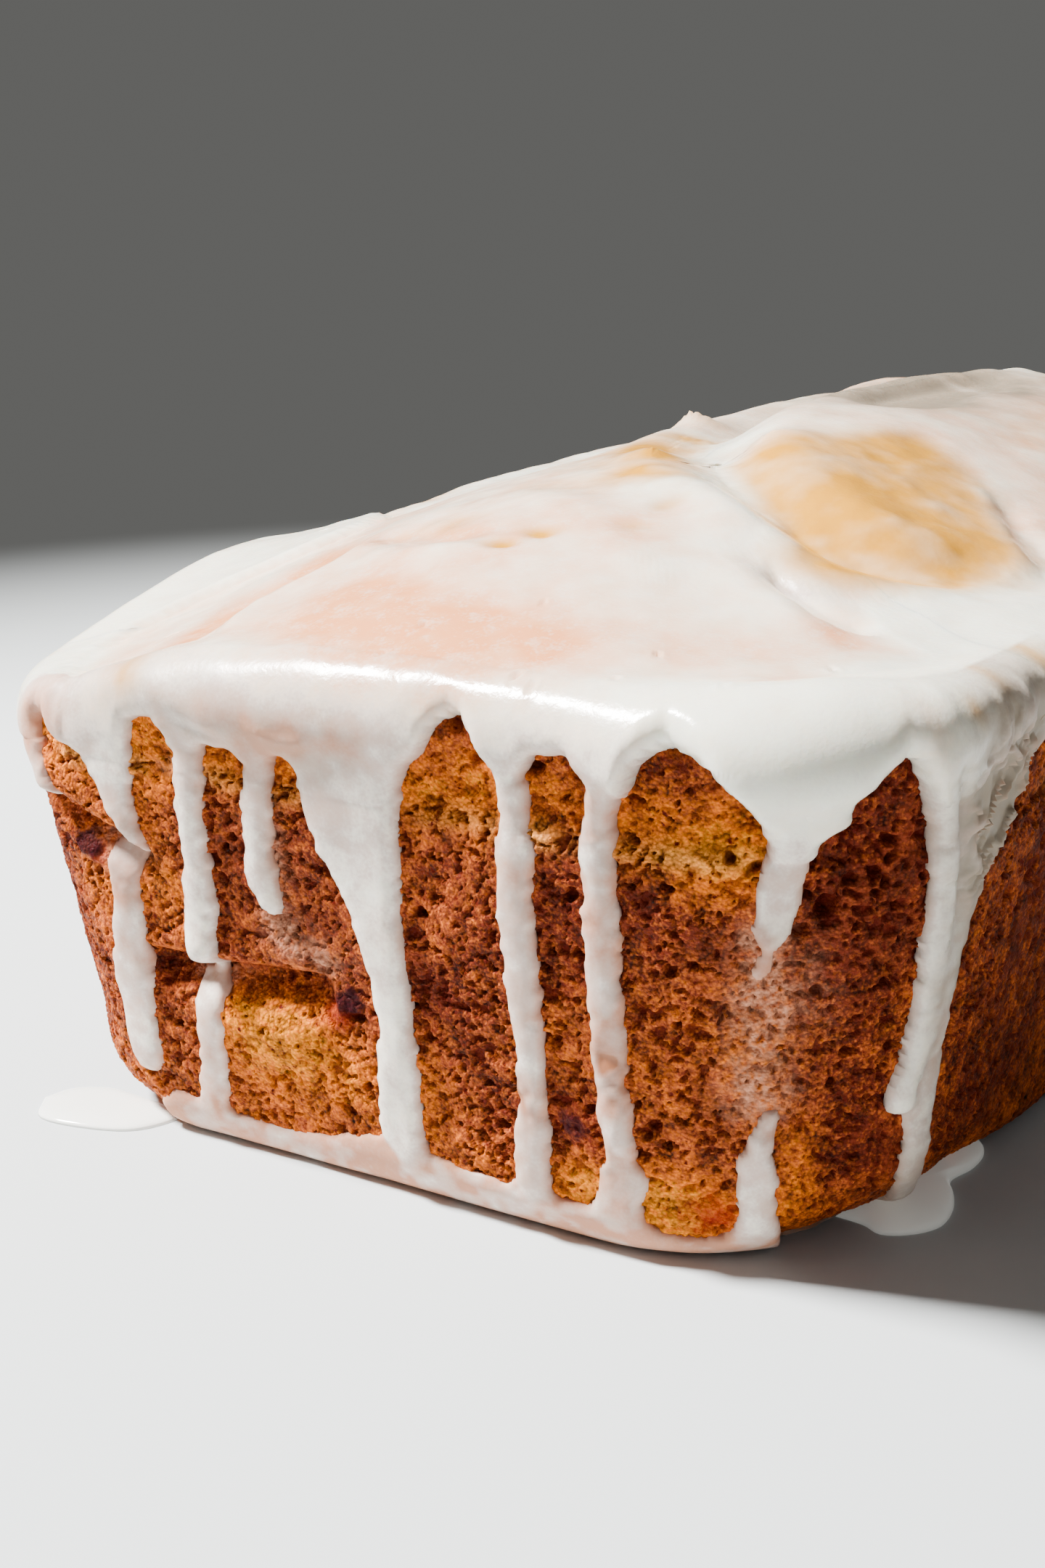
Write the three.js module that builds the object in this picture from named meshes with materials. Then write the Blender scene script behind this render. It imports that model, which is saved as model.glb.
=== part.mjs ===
// A drizzle loaf cake, uncut, in millimetres with +Z up.
// The cake stands on z = 0 and its long axis runs along Y, with the decorated end at -Y.
// Two solids: the sponge, and the coat of icing that covers its top and runs down its walls.
//
// Places on the walls are given by s and z: s is the walk round the cake, in mm at
// referenceHeight, from the middle of the -Y end towards +X, and z is the height.
import * as THREE from 'three';
import { mergeVertices } from 'three/addons/utils/BufferGeometryUtils.js';

// Loaf: the shape that an 8.5 x 4.5 inch tin leaves.
const baseHalfWidth = 50;
const baseHalfLength = 101;
const flare = 0.133;
const cornerRadius = 23;
const tightCornerRadius = 16.5;
const footRounding = 4.2;
const footCornerRounding = 2.8;
const rimHeight = 58.5;
const rimRounding = 3.2;
const rimInset = 0.8;
const referenceHeight = 30;

// Dome: the risen top, with a rim that dips at the front left corner and a crack that runs
// along the middle and curls round a mound.
const domeRise = 12.8;
const domeCrossPower = 1.83;
const domeLengthPower = 3.5;
const rimDips = [
  { x: -56, y: -104, depth: 9.1, spread: 21 },
  { x: -56, y: -36, depth: 1.6, spread: 15 },
];
const mound = { x: 14, y: -18, rise: 2.6, spreadX: 13, spreadY: 24 };
const crack = { depth: 3.2, halfWidth: 5, lipRise: 1.3, lipDistance: 8, lipWidth: 3 };
const crackRoute = [[-9, 66], [-12, 28], [-9, -6], [-1, -33], [14, -51], [34, -57], [48, -44]];
const crackSamples = 48;

// Relief on the walls: the step left where the batter met the tin's rim, broad swellings,
// and the folds pressed in by the baking paper.
const ledge = { height: 45.6, step: 0.7, softness: 0.7 };
const swell = { amount: 0.6, waves: [7, 11], heights: [22, 31] };
const folds = [
  { start: -36, end: -7, level: 22.8, slope: 0.06, depth: 3, halfHeight: 1.5 },
  { start: -47, end: -29, level: 37.6, slope: -0.35, depth: 2.4, halfHeight: 1.4 },
  { start: 214, end: 248, level: 29, slope: 0.12, depth: 2.6, halfHeight: 1.6 },
  { start: -196, end: -168, level: 18, slope: -0.1, depth: 2.6, halfHeight: 1.6 },
];
const foldEnds = 4;
const bulge = { s: -17, z: 16.5, rise: 1.3, spreadS: 9, spreadZ: 4.5 };

// Icing.
const clearance = 0.45;
const coatThickness = 1.5;
const dripThickness = 1.4;
const runFoot = 47;
const archRise = 10;
const archReach = 16;
const coatLip = 2;
const edgeDip = 3;
const footBand = { top: 5.8, middle: 3.2, bottom: 0.8, thickness: 1.1, tail: 5 };

// Runs of icing on the front end: where each starts and ends on the walk, half its width
// at the top and lower down, and the height of its end. Those that end at the foot band
// join it.
const frontRuns = [
  { top: -48.5, foot: -43.5, wide: 3.2, narrow: 1.6, end: 39.5 },
  { top: -33.2, foot: -39.5, wide: 3.8, narrow: 2.6, end: 6.5 },
  { top: -21.5, foot: -29.8, wide: 2.1, narrow: 2.2, end: footBand.top },
  { top: -12.6, foot: -14.3, wide: 1.8, narrow: 1.9, end: 31 },
  { top: -2, foot: 0.4, wide: 5.6, narrow: 2.9, end: footBand.top },
  { top: 16.4, foot: 18.4, wide: 1.8, narrow: 2.1, end: footBand.top },
  { top: 25.7, foot: 29.6, wide: 1.8, narrow: 2.1, end: footBand.top },
  { top: 44.2, foot: 43.8, wide: 2.6, narrow: 2, end: footBand.top },
  { top: 58.9, foot: 56.8, wide: 1.8, narrow: 1.7, end: 16.5 },
  { top: 68.5, foot: 59.4, wide: 7, narrow: 1.8, end: footBand.top },
];
// Runs on the other walls follow a rule with a seeded draw.
const otherRuns = {
  start: 90, stop: -66, nearest: 11, furthest: 23, narrowest: 1.5, widest: 2.6,
  flaring: 1.25, toFoot: 0.5, lowest: 9, highest: 40, drift: 2.5, seed: 11,
};

// Fineness of the meshes.
const columns = 76;
const wallLevels = [4, 8, 13, 18, 20.9, 22.6, 24.8, 29, 33, 36, 38, 40.5, 44.6, 46.8, 50.5];
const fixedLevel = 40;
const topInsets = [3.5, 9, 15, 21, 27, 33, 38.5, 43.5, 48.5, 54];
const runStep = 8;
const gapStep = 5.5;
const runProfile = [
  { offset: -1, height: 0 },
  { offset: -0.55, height: 0.8 },
  { offset: 0, height: 1 },
  { offset: 0.55, height: 0.8 },
  { offset: 1, height: 0 },
];

// --- Outline ------------------------------------------------------------------------

const rimHalfWidth = baseHalfWidth + flare * rimHeight;
const rimHalfLength = baseHalfLength + flare * rimHeight;

// The four quarters of the walk, from the middle of the front end round by +X.
const quarters = [[1, -1], [1, 1], [-1, 1], [-1, -1]].map(([sideX, sideY]) => {
  const radius = sideX < 0 && sideY < 0 ? tightCornerRadius : cornerRadius;
  const across = baseHalfWidth + flare * referenceHeight - radius;
  const along = baseHalfLength + flare * referenceHeight - radius;
  const arc = (radius * Math.PI) / 2;
  return { sideX, sideY, radius, across, along, arc, length: across + arc + along };
});
const perimeter = quarters.reduce((sum, quarter) => sum + quarter.length, 0);

function clamp(value, low, high) {
  return Math.min(Math.max(value, low), high);
}

function gauss(distance, spread) {
  return Math.exp(-(distance * distance) / (2 * spread * spread));
}

function wrap(s) {
  return ((s % perimeter) + perimeter) % perimeter;
}

// The signed walk between two places, the short way round.
function walkBetween(from, to) {
  return wrap(to - from + perimeter / 2) - perimeter / 2;
}

// Where s lies on an outline: fractions of the straight stretches, and the outward normal.
function outlineAt(s) {
  let rest = wrap(s);
  let index = 0;
  while (index < 3 && rest > quarters[index].length) {
    rest -= quarters[index].length;
    index += 1;
  }
  const quarter = quarters[index];
  const walked = index % 2 === 0 ? rest : quarter.length - rest;
  const angle = clamp((walked - quarter.across) / quarter.radius, 0, Math.PI / 2);
  const down = clamp((walked - quarter.across - quarter.arc) / quarter.along, 0, 1);
  return {
    quarter,
    across: clamp(walked / quarter.across, 0, 1),
    along: 1 - down,
    normalX: quarter.sideX * Math.sin(angle),
    normalY: quarter.sideY * Math.cos(angle),
  };
}

function pointOn(place, halfWidth, halfLength, radius) {
  const { quarter, across, along, normalX, normalY } = place;
  return {
    x: quarter.sideX * across * (halfWidth - radius) + normalX * radius,
    y: quarter.sideY * along * (halfLength - radius) + normalY * radius,
  };
}

// --- Shape of the sponge ------------------------------------------------------------

function rimAt(x, y) {
  return rimDips.reduce((height, dip) => {
    const distance = Math.hypot(x - dip.x, y - dip.y);
    return height - dip.depth * gauss(distance, dip.spread);
  }, rimHeight);
}

const crackLine = new THREE.CatmullRomCurve3(
  crackRoute.map(([x, y]) => new THREE.Vector3(x, y, 0)),
).getSpacedPoints(crackSamples);

function crackRelief(x, y) {
  const distance = Math.min(...crackLine.map((point) => Math.hypot(x - point.x, y - point.y)));
  const lips = crack.lipRise * gauss(distance - crack.lipDistance, crack.lipWidth);
  return lips - crack.depth * gauss(distance, crack.halfWidth);
}

function topHeight(x, y) {
  const acrossShare = clamp(Math.abs(x) / rimHalfWidth, 0, 1);
  const alongShare = clamp(Math.abs(y) / rimHalfLength, 0, 1);
  const crossShape = Math.cos((Math.PI / 2) * acrossShare) ** domeCrossPower;
  const lengthShape = 1 - alongShare ** domeLengthPower;
  const swelling = gauss(x - mound.x, mound.spreadX) * gauss(y - mound.y, mound.spreadY);
  const open = clamp(crossShape * lengthShape * 2.2, 0, 1);
  return rimAt(x, y) + domeRise * crossShape * lengthShape + mound.rise * swelling
    + open * crackRelief(x, y);
}

// Relief that the icing follows too, outwards.
function broadRelief(s, z) {
  const turn = (2 * Math.PI * wrap(s)) / perimeter;
  const swelling = Math.sin(swell.waves[0] * turn + z / swell.heights[0])
    + Math.sin(swell.waves[1] * turn - z / swell.heights[1]);
  const belly = bulge.rise * gauss(walkBetween(bulge.s, s), bulge.spreadS)
    * gauss(z - bulge.z, bulge.spreadZ);
  const step = ledge.step / (1 + Math.exp((z - ledge.height) / ledge.softness));
  const stand = clamp(z / footRounding, 0, 1);
  return stand * (step + swell.amount * 0.5 * swelling + belly);
}

// The folds, inwards, which the icing bridges.
function foldDepth(s, z) {
  return folds.reduce((depth, fold) => {
    const middle = (fold.start + fold.end) / 2;
    const reach = (fold.end - fold.start) / 2;
    const off = walkBetween(middle, s);
    const ends = clamp((reach - Math.abs(off)) / foldEnds, 0, 1);
    const level = fold.level + fold.slope * off;
    return depth + ends * fold.depth * gauss(z - level, fold.halfHeight);
  }, 0);
}

// The foot's edge is rounded, and more so at the corners.
function footInset(place, z) {
  const cornerShare = 2 * Math.abs(place.normalX * place.normalY);
  const rounding = footRounding + footCornerRounding * cornerShare;
  const rest = clamp(rounding - z, 0, rounding);
  return rounding - Math.sqrt(rounding * rounding - rest * rest);
}

// A point on the wall, moved out from it by lift.
function wallPoint(s, z, lift) {
  const place = outlineAt(s);
  const grown = flare * z - footInset(place, z);
  const at = pointOn(place, baseHalfWidth + grown, baseHalfLength + grown, place.quarter.radius);
  const rim = rimAt(at.x, at.y);
  const bend = clamp((z - (rim - rimRounding)) / rimRounding, 0, 1);
  const out = lift + broadRelief(s, z) * (1 - bend) - rimInset * bend;
  return new THREE.Vector3(at.x + place.normalX * out, at.y + place.normalY * out, z);
}

function spongeWallPoint(s, z) {
  return wallPoint(s, z, -foldDepth(s, z));
}

function rimNear(s) {
  const place = outlineAt(s);
  const at = pointOn(place, rimHalfWidth, rimHalfLength, place.quarter.radius);
  return rimAt(at.x, at.y);
}

// The point on the rim itself, where the wall turns into the top.
function shoulderPoint(s, lift) {
  const point = wallPoint(s, rimNear(s) - 0.3, lift * 0.8);
  point.z += lift * 0.6;
  return point;
}

// A point on the top, inset from the rim, raised by lift.
function topPoint(s, inset, lift) {
  const place = outlineAt(s);
  const radius = place.quarter.radius * (1 - inset / rimHalfWidth);
  const at = pointOn(place, rimHalfWidth - inset, rimHalfLength - inset, radius);
  return new THREE.Vector3(at.x, at.y, topHeight(at.x, at.y) + lift);
}

// --- Mesh building ------------------------------------------------------------------

// Vertices and triangles of one closed body. A ring is a list of { s, vertex }.
class Body {
  constructor() {
    this.points = [];
    this.faces = [];
  }

  add(point) {
    this.points.push(point);
    return this.points.length - 1;
  }

  ring(places, makePoint) {
    return places.map((s) => ({ s, vertex: this.add(makePoint(s)) }));
  }

  triangle(a, b, c, flip) {
    if (a !== b && b !== c && c !== a) this.faces.push(flip ? [a, c, b] : [a, b, c]);
  }

  quad(a, b, c, d, flip) {
    this.triangle(a, b, c, flip);
    this.triangle(a, c, d, flip);
  }

  // Joins two closed rings with any numbers of vertices, the upper one second.
  zip(lower, upper, flip) {
    let low = 0;
    let high = 0;
    const walked = (ring, index) => ring[index % ring.length].s
      + (index >= ring.length ? perimeter : 0);
    while (low < lower.length || high < upper.length) {
      const lowNext = walked(lower, low + 1);
      const highNext = walked(upper, high + 1);
      const a = lower[low % lower.length].vertex;
      const b = upper[high % upper.length].vertex;
      const stepLow = high >= upper.length || (low < lower.length && lowNext <= highNext);
      if (stepLow) {
        low += 1;
        this.triangle(a, lower[low % lower.length].vertex, b, flip);
      } else {
        high += 1;
        this.triangle(a, upper[high % upper.length].vertex, b, flip);
      }
    }
  }

  // Closes a long narrow ring by joining its two sides across the middle.
  closeStrip(ring, flip) {
    const half = Math.round(ring.length / 2);
    const right = ring.slice(0, half + 1);
    const left = [ring[0], ...ring.slice(half).reverse()];
    const heightOf = (side, index) => this.points[side[index].vertex].y;
    let onRight = 0;
    let onLeft = 0;
    while (onRight < right.length - 1 || onLeft < left.length - 1) {
      const leftDone = onLeft === left.length - 1;
      const rightDone = onRight === right.length - 1;
      const stepRight = leftDone
        || (!rightDone && heightOf(right, onRight + 1) <= heightOf(left, onLeft + 1));
      const a = right[onRight].vertex;
      const b = left[onLeft].vertex;
      if (stepRight) {
        onRight += 1;
        this.triangle(a, right[onRight].vertex, b, flip);
      } else {
        onLeft += 1;
        this.triangle(a, left[onLeft].vertex, b, flip);
      }
    }
  }

  // Closes a flat ring.
  cap(ring, flip) {
    const flat = ring.map(({ vertex }) => {
      const point = this.points[vertex];
      return new THREE.Vector2(point.x, point.y);
    });
    for (const [a, b, c] of THREE.ShapeUtils.triangulateShape(flat, [])) {
      this.triangle(ring[a].vertex, ring[b].vertex, ring[c].vertex, flip);
    }
  }

  geometry() {
    const positions = this.faces.flat().flatMap((vertex) => this.points[vertex].toArray());
    const soup = new THREE.BufferGeometry();
    soup.setAttribute('position', new THREE.Float32BufferAttribute(positions, 3));
    const geometry = mergeVertices(soup, 1e-5);
    geometry.computeVertexNormals();
    return geometry;
  }
}

const evenPlaces = Array.from({ length: columns }, (_, index) => (index * perimeter) / columns);

// Levels above fixedLevel are squeezed where the rim is low.
function levelNear(s, level) {
  if (level <= fixedLevel) return level;
  const share = (level - fixedLevel) / (rimHeight - fixedLevel);
  return fixedLevel + share * (rimNear(s) - fixedLevel);
}

function spongeGeometry() {
  const body = new Body();
  const footLevels = [0, 0.3 * footRounding];
  const rings = footLevels.map((z) => body.ring(evenPlaces, (s) => wallPoint(s, z, 0)));
  for (const level of wallLevels) {
    rings.push(body.ring(evenPlaces, (s) => spongeWallPoint(s, levelNear(s, level))));
  }
  rings.push(body.ring(evenPlaces, (s) => wallPoint(s, rimNear(s) - rimRounding, 0)));
  rings.push(body.ring(evenPlaces, (s) => shoulderPoint(s, 0)));
  for (const inset of topInsets) {
    rings.push(body.ring(evenPlaces, (s) => topPoint(s, inset, 0)));
  }
  for (let index = 1; index < rings.length; index += 1) {
    body.zip(rings[index - 1], rings[index], false);
  }
  body.cap(rings[0], true);
  body.closeStrip(rings[rings.length - 1], false);
  return body.geometry();
}

// --- Icing --------------------------------------------------------------------------

// Seeded draw between 0 and 1.
function makeDraw(seed) {
  let state = seed;
  return () => {
    state = (state + 0x6d2b79f5) | 0;
    let mixed = Math.imul(state ^ (state >>> 15), 1 | state);
    mixed = (mixed + Math.imul(mixed ^ (mixed >>> 7), 61 | mixed)) ^ mixed;
    return ((mixed ^ (mixed >>> 14)) >>> 0) / 4294967296;
  };
}

function allRuns() {
  const draw = makeDraw(otherRuns.seed);
  const between = (low, high) => low + (high - low) * draw();
  const runs = frontRuns.map((run) => ({ ...run, top: wrap(run.top), foot: wrap(run.foot) }));
  const stop = perimeter + otherRuns.stop;
  let s = otherRuns.start;
  while (s < stop) {
    const narrow = between(otherRuns.narrowest, otherRuns.widest);
    const reachesFoot = draw() < otherRuns.toFoot;
    const drawnEnd = between(otherRuns.lowest, otherRuns.highest);
    runs.push({
      top: s,
      foot: s + between(-otherRuns.drift, otherRuns.drift),
      wide: narrow * otherRuns.flaring,
      narrow,
      end: reachesFoot ? footBand.top : drawnEnd,
    });
    s += between(otherRuns.nearest, otherRuns.furthest);
  }
  return runs.sort((a, b) => a.top - b.top);
}

// A vertex on the icing's outer face and one on its inner face, which are the same where
// the icing thins out to nothing.
function layered(body, s, makePoint, thickness) {
  const inner = body.add(makePoint(s, clearance));
  const outer = thickness > 0 ? body.add(makePoint(s, clearance + thickness)) : inner;
  return { s, inner, outer };
}

// Joins two rows of layered vertices, the upper one second, on both faces.
function joinRows(body, lower, upper) {
  for (let index = 1; index < lower.length; index += 1) {
    for (const face of ['outer', 'inner']) {
      const corners = [lower[index - 1], lower[index], upper[index], upper[index - 1]];
      body.quad(...corners.map((corner) => corner[face]), face === 'inner');
    }
  }
}

function faceOf(row, face) {
  return row.map((corner) => ({ s: corner.s, vertex: corner[face] }));
}

// The places on the walk where the coat's columns stand: five in each run, and some in
// each gap, where the coat ends in an arch.
function coatColumns(runs) {
  const found = [];
  runs.forEach((run, index) => {
    const next = runs[(index + 1) % runs.length];
    for (const { offset, height } of runProfile) {
      found.push({ s: wrap(run.top + offset * run.wide), run, edge: runFoot, height });
    }
    const gapStart = run.top + run.wide;
    const gap = walkBetween(gapStart, next.top - next.wide);
    const count = Math.max(1, Math.round(gap / gapStep));
    const rise = archRise * clamp(gap / archReach, 0.35, 1);
    for (let step = 1; step <= count; step += 1) {
      const share = step / (count + 1);
      const arch = rise * (1 - (2 * share - 1) ** 2);
      found.push({ s: wrap(gapStart + gap * share), run: null, edge: runFoot + arch, height: 0 });
    }
  });
  return found.sort((a, b) => a.s - b.s);
}

function edgeHeight(column) {
  return Math.min(column.edge, rimNear(column.s) - coatLip) - edgeDip * dipShare(column.s);
}

// 0 where the rim is at its full height, and 1 where it is lowest.
function dipShare(s) {
  return clamp((rimHeight - rimNear(s)) / rimDips[0].depth, 0, 1);
}

// One run from the coat's edge down, as rows of five vertices that narrow and drift.
function addRun(body, run, firstRow) {
  const start = firstRow[2].z;
  const toFoot = run.end <= footBand.top;
  const count = Math.max(2, Math.round((start - run.end) / runStep));
  const drift = walkBetween(run.top, run.foot);
  let row = firstRow;
  for (let step = 1; step <= count; step += 1) {
    const share = step / count;
    const isTip = step === count && !toFoot;
    const level = start + (run.end - start) * share;
    const half = run.narrow + (run.wide - run.narrow) * (1 - share) ** 2;
    const width = isTip ? half * 0.4 : half * (step === count - 1 && !toFoot ? 1.15 : 1);
    const middle = run.top + drift * share;
    const next = runProfile.map(({ offset, height }) => {
      const thickness = isTip ? 0 : dripThickness * height;
      const makePoint = (s, lift) => wallPoint(s, level, lift);
      return layered(body, middle + offset * width, makePoint, thickness);
    });
    joinRows(body, next, row);
    row = next;
  }
  return row;
}

// The band of icing along the foot, between runs that reach it and a little past them.
function addFootBand(body, arrivals) {
  const groups = [];
  for (const arrival of arrivals) {
    const last = groups[groups.length - 1];
    const gap = last ? arrival[0].s - last[last.length - 1][4].s : Infinity;
    if (gap < footBand.tail * 6) last.push(arrival);
    else groups.push([arrival]);
  }
  for (const group of groups) {
    const top = [];
    group.forEach((arrival, index) => {
      if (index > 0) {
        const before = group[index - 1][4].s;
        const gap = arrival[0].s - before;
        const count = Math.max(1, Math.round(gap / gapStep));
        for (let step = 1; step <= count; step += 1) {
          top.push(footVertex(body, before + (gap * step) / (count + 1), footBand.top, 0));
        }
      }
      top.push(...arrival);
    });
    const from = top[0].s - footBand.tail;
    const to = top[top.length - 1].s + footBand.tail;
    const start = footVertex(body, from, footBand.middle, 0);
    const finish = footVertex(body, to, footBand.middle, 0);
    const middleRow = top.map(({ s }) => footVertex(body, s, footBand.middle, footBand.thickness));
    const bottomRow = top.map(({ s }) => footVertex(body, s, footBand.bottom, 0));
    joinRows(body, [start, ...middleRow, finish], [start, ...top, finish]);
    joinRows(body, [start, ...bottomRow, finish], [start, ...middleRow, finish]);
  }
}

function footVertex(body, s, level, thickness) {
  return layered(body, s, (at, lift) => wallPoint(at, level, lift), thickness);
}

function icingGeometry() {
  const body = new Body();
  const runs = allRuns();
  const columnsOfCoat = coatColumns(runs);
  const edgeRow = columnsOfCoat.map((column) => {
    const level = edgeHeight(column);
    const makePoint = (s, lift) => wallPoint(s, level, lift);
    const vertex = layered(body, column.s, makePoint, dripThickness * column.height);
    return { ...vertex, z: level, run: column.run };
  });
  const middleRow = columnsOfCoat.map((column) => {
    const rim = rimNear(column.s);
    const level = clamp(rim - rimRounding, edgeHeight(column) + rimInset, rim - rimRounding / 2);
    return layered(body, column.s, (s, lift) => wallPoint(s, level, lift), coatThickness);
  });
  const shoulderRow = columnsOfCoat.map(
    (column) => layered(body, column.s, shoulderPoint, coatThickness),
  );
  joinRows(body, [...edgeRow, edgeRow[0]], [...middleRow, middleRow[0]]);
  joinRows(body, [...middleRow, middleRow[0]], [...shoulderRow, shoulderRow[0]]);

  const topRows = topInsets.map((inset) => evenPlaces.map(
    (s) => layered(body, s, (at, lift) => topPoint(at, inset, lift), coatThickness),
  ));
  for (const face of ['outer', 'inner']) {
    const flip = face === 'inner';
    body.zip(faceOf(shoulderRow, face), faceOf(topRows[0], face), flip);
    for (let index = 1; index < topRows.length; index += 1) {
      body.zip(faceOf(topRows[index - 1], face), faceOf(topRows[index], face), flip);
    }
    body.closeStrip(faceOf(topRows[topRows.length - 1], face), flip);
  }

  const arrivals = [];
  for (const run of runs) {
    const firstRow = edgeRow.filter((vertex) => vertex.run === run);
    firstRow.sort((a, b) => walkBetween(run.top, a.s) - walkBetween(run.top, b.s));
    const lastRow = addRun(body, run, firstRow);
    if (run.end <= footBand.top) arrivals.push(lastRow);
  }
  arrivals.sort((a, b) => a[2].s - b[2].s);
  addFootBand(body, unwrapFrom(arrivals));
  return body.geometry();
}

// Turns the list of arrivals so that it starts just after the widest gap, with s rising.
function unwrapFrom(arrivals) {
  const gaps = arrivals.map((arrival, index) => {
    const before = arrivals[(index + arrivals.length - 1) % arrivals.length];
    return wrap(arrival[0].s - before[4].s);
  });
  const first = gaps.indexOf(Math.max(...gaps));
  return arrivals.map((_, index) => {
    const place = first + index;
    const turned = place >= arrivals.length ? perimeter : 0;
    const arrival = arrivals[place % arrivals.length];
    return arrival.map((vertex) => ({ ...vertex, s: vertex.s + turned }));
  });
}

// --- Cake ---------------------------------------------------------------------------

const crumb = new THREE.MeshStandardMaterial({ color: 0x9c5a2a, roughness: 0.85, metalness: 0 });
const glaze = new THREE.MeshStandardMaterial({ color: 0xefebe3, roughness: 0.3, metalness: 0 });

const sponge = new THREE.Mesh(spongeGeometry(), crumb);
sponge.name = 'sponge';

const icing = new THREE.Mesh(icingGeometry(), glaze);
icing.name = 'icing';

const cake = new THREE.Group();
cake.add(sponge, icing);

export default cake;
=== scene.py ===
"""A lemon drizzle loaf cake: baked crumb, icing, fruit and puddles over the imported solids.

Shapes are worked out in millimetres and turned into metres when a mesh is made. Places on
the walls are given as in the solids: s is the walk round the cake from the middle of the
front end towards +X, in mm at REFERENCE_HEIGHT, and z is the height.
"""
import math

import bpy
import numpy as np
from mathutils import Matrix, Vector


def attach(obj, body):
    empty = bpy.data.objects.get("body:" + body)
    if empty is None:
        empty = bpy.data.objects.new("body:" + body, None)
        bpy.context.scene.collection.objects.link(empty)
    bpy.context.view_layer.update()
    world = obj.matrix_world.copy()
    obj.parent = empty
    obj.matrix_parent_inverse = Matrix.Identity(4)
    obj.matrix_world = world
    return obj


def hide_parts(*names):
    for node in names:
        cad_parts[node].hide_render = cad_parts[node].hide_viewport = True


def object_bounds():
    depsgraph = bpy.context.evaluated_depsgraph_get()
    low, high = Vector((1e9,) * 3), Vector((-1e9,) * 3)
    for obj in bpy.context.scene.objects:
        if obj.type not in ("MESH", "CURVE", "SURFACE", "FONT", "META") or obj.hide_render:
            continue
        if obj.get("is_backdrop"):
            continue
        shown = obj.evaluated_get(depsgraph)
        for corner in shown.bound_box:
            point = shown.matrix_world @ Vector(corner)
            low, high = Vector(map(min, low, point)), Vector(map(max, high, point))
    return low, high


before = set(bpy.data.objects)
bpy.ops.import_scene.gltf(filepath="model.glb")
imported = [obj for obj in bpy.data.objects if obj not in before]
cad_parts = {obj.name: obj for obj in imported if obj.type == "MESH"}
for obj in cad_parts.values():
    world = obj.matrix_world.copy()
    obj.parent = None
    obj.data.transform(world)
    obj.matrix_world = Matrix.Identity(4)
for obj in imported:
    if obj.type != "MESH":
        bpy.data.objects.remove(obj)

cad_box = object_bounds()
MM = 0.001


def add_object(name, data):
    made = bpy.data.objects.new(name, data)
    bpy.context.scene.collection.objects.link(made)
    return made


# --- Camera -------------------------------------------------------------------------

CAMERA_PLACE = (136.947, -286.364, 113.408)
CAMERA_YAW, CAMERA_PITCH, CAMERA_ROLL = 33.3997, 16.3058, -1.2583
CAMERA_LENS = 53.364
CAMERA_CLIP = (0.01, 20)


def make_camera():
    """Looks along +Y turned left by the yaw and down by the pitch, then rolls."""
    yaw, pitch, roll = (math.radians(a) for a in (CAMERA_YAW, CAMERA_PITCH, CAMERA_ROLL))
    reach = math.cos(pitch)
    ahead = np.array([-math.sin(yaw) * reach, math.cos(yaw) * reach, -math.sin(pitch)])
    right = np.array([math.cos(yaw), math.sin(yaw), 0.0])
    up = np.cross(right, ahead)
    turn = np.eye(4)
    turn[:3, 0] = right * math.cos(roll) + up * math.sin(roll)
    turn[:3, 1] = up * math.cos(roll) - right * math.sin(roll)
    turn[:3, 2] = -ahead
    turn[:3, 3] = np.array(CAMERA_PLACE) * MM
    data = bpy.data.cameras.new("camera")
    data.lens = CAMERA_LENS
    data.clip_start, data.clip_end = CAMERA_CLIP
    camera = add_object("camera", data)
    camera.matrix_world = Matrix(turn.tolist())
    bpy.context.scene.camera = camera


# --- Sizes of the cake, as in the solids ------------------------------------------------

BASE_HALF_WIDTH, BASE_HALF_LENGTH = 50.0, 101.0
FLARE = 0.133
CORNER_RADIUS, TIGHT_CORNER_RADIUS = 23.0, 16.5
FOOT_ROUNDING, FOOT_CORNER_ROUNDING = 4.2, 2.8
RIM_HEIGHT, RIM_ROUNDING = 58.5, 3.2
SHOULDER_INSET = 3.5
REFERENCE_HEIGHT = 30.0
# The risen top, its dips at the rim as x, y, depth and spread, its mound and its crack.
DOME_RISE, DOME_CROSS_POWER, DOME_LENGTH_POWER = 12.8, 1.83, 3.5
RIM_DIPS = ((-56, -104, 9.1, 21), (-56, -36, 1.6, 15))
MOUND = dict(x=14, y=-18, rise=2.6, spread_x=13, spread_y=24)
CRACK = dict(depth=3.2, half_width=5, lip_rise=1.3, lip_distance=8, lip_width=3, opening=2.2)
CRACK_ROUTE = ((-9, 66), (-12, 28), (-9, -6), (-1, -33), (14, -51), (34, -57), (48, -44))
# The step where the batter met the tin's rim, and slow waves of the walls.
LEDGE = dict(height=45.6, step=0.7, softness=0.35)
SWELL = dict(amount=0.6, waves=(7, 11), heights=(22, 31))
# Folds that the baking paper pressed in: start and end on the walk, level, slope, depth and
# half height; then their section, in half heights, and how softly they end.
FOLDS = (
    (-36, -7, 22.8, 0.06, 3, 1.5), (-47, -29, 37.6, -0.35, 2.4, 1.4), (214, 248, 29, 0.12, 2.6, 1.6),
    (-196, -168, 18, -0.1, 2.6, 1.6),
)
FOLD = dict(over=0.55, under=1.25, lip_height=2.2, lip_rise=0.5)
FOLD_ENDS = 4.0
# The crust's finer waves, and the height over which relief eases in from the foot.
WAVES = dict(size=8, height=0.28)
FOOT_EASE = 2.5
BULGE = dict(s=-17, z=16.5, rise=1.3, spread_s=9, spread_z=4.5)
TOP_CENTRE = (0.0, -50.0)
# The near corner's foot is tucked in further than the solids' foot.
FOOT_TUCK = dict(s=67, spread=11, amount=8.0)

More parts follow.
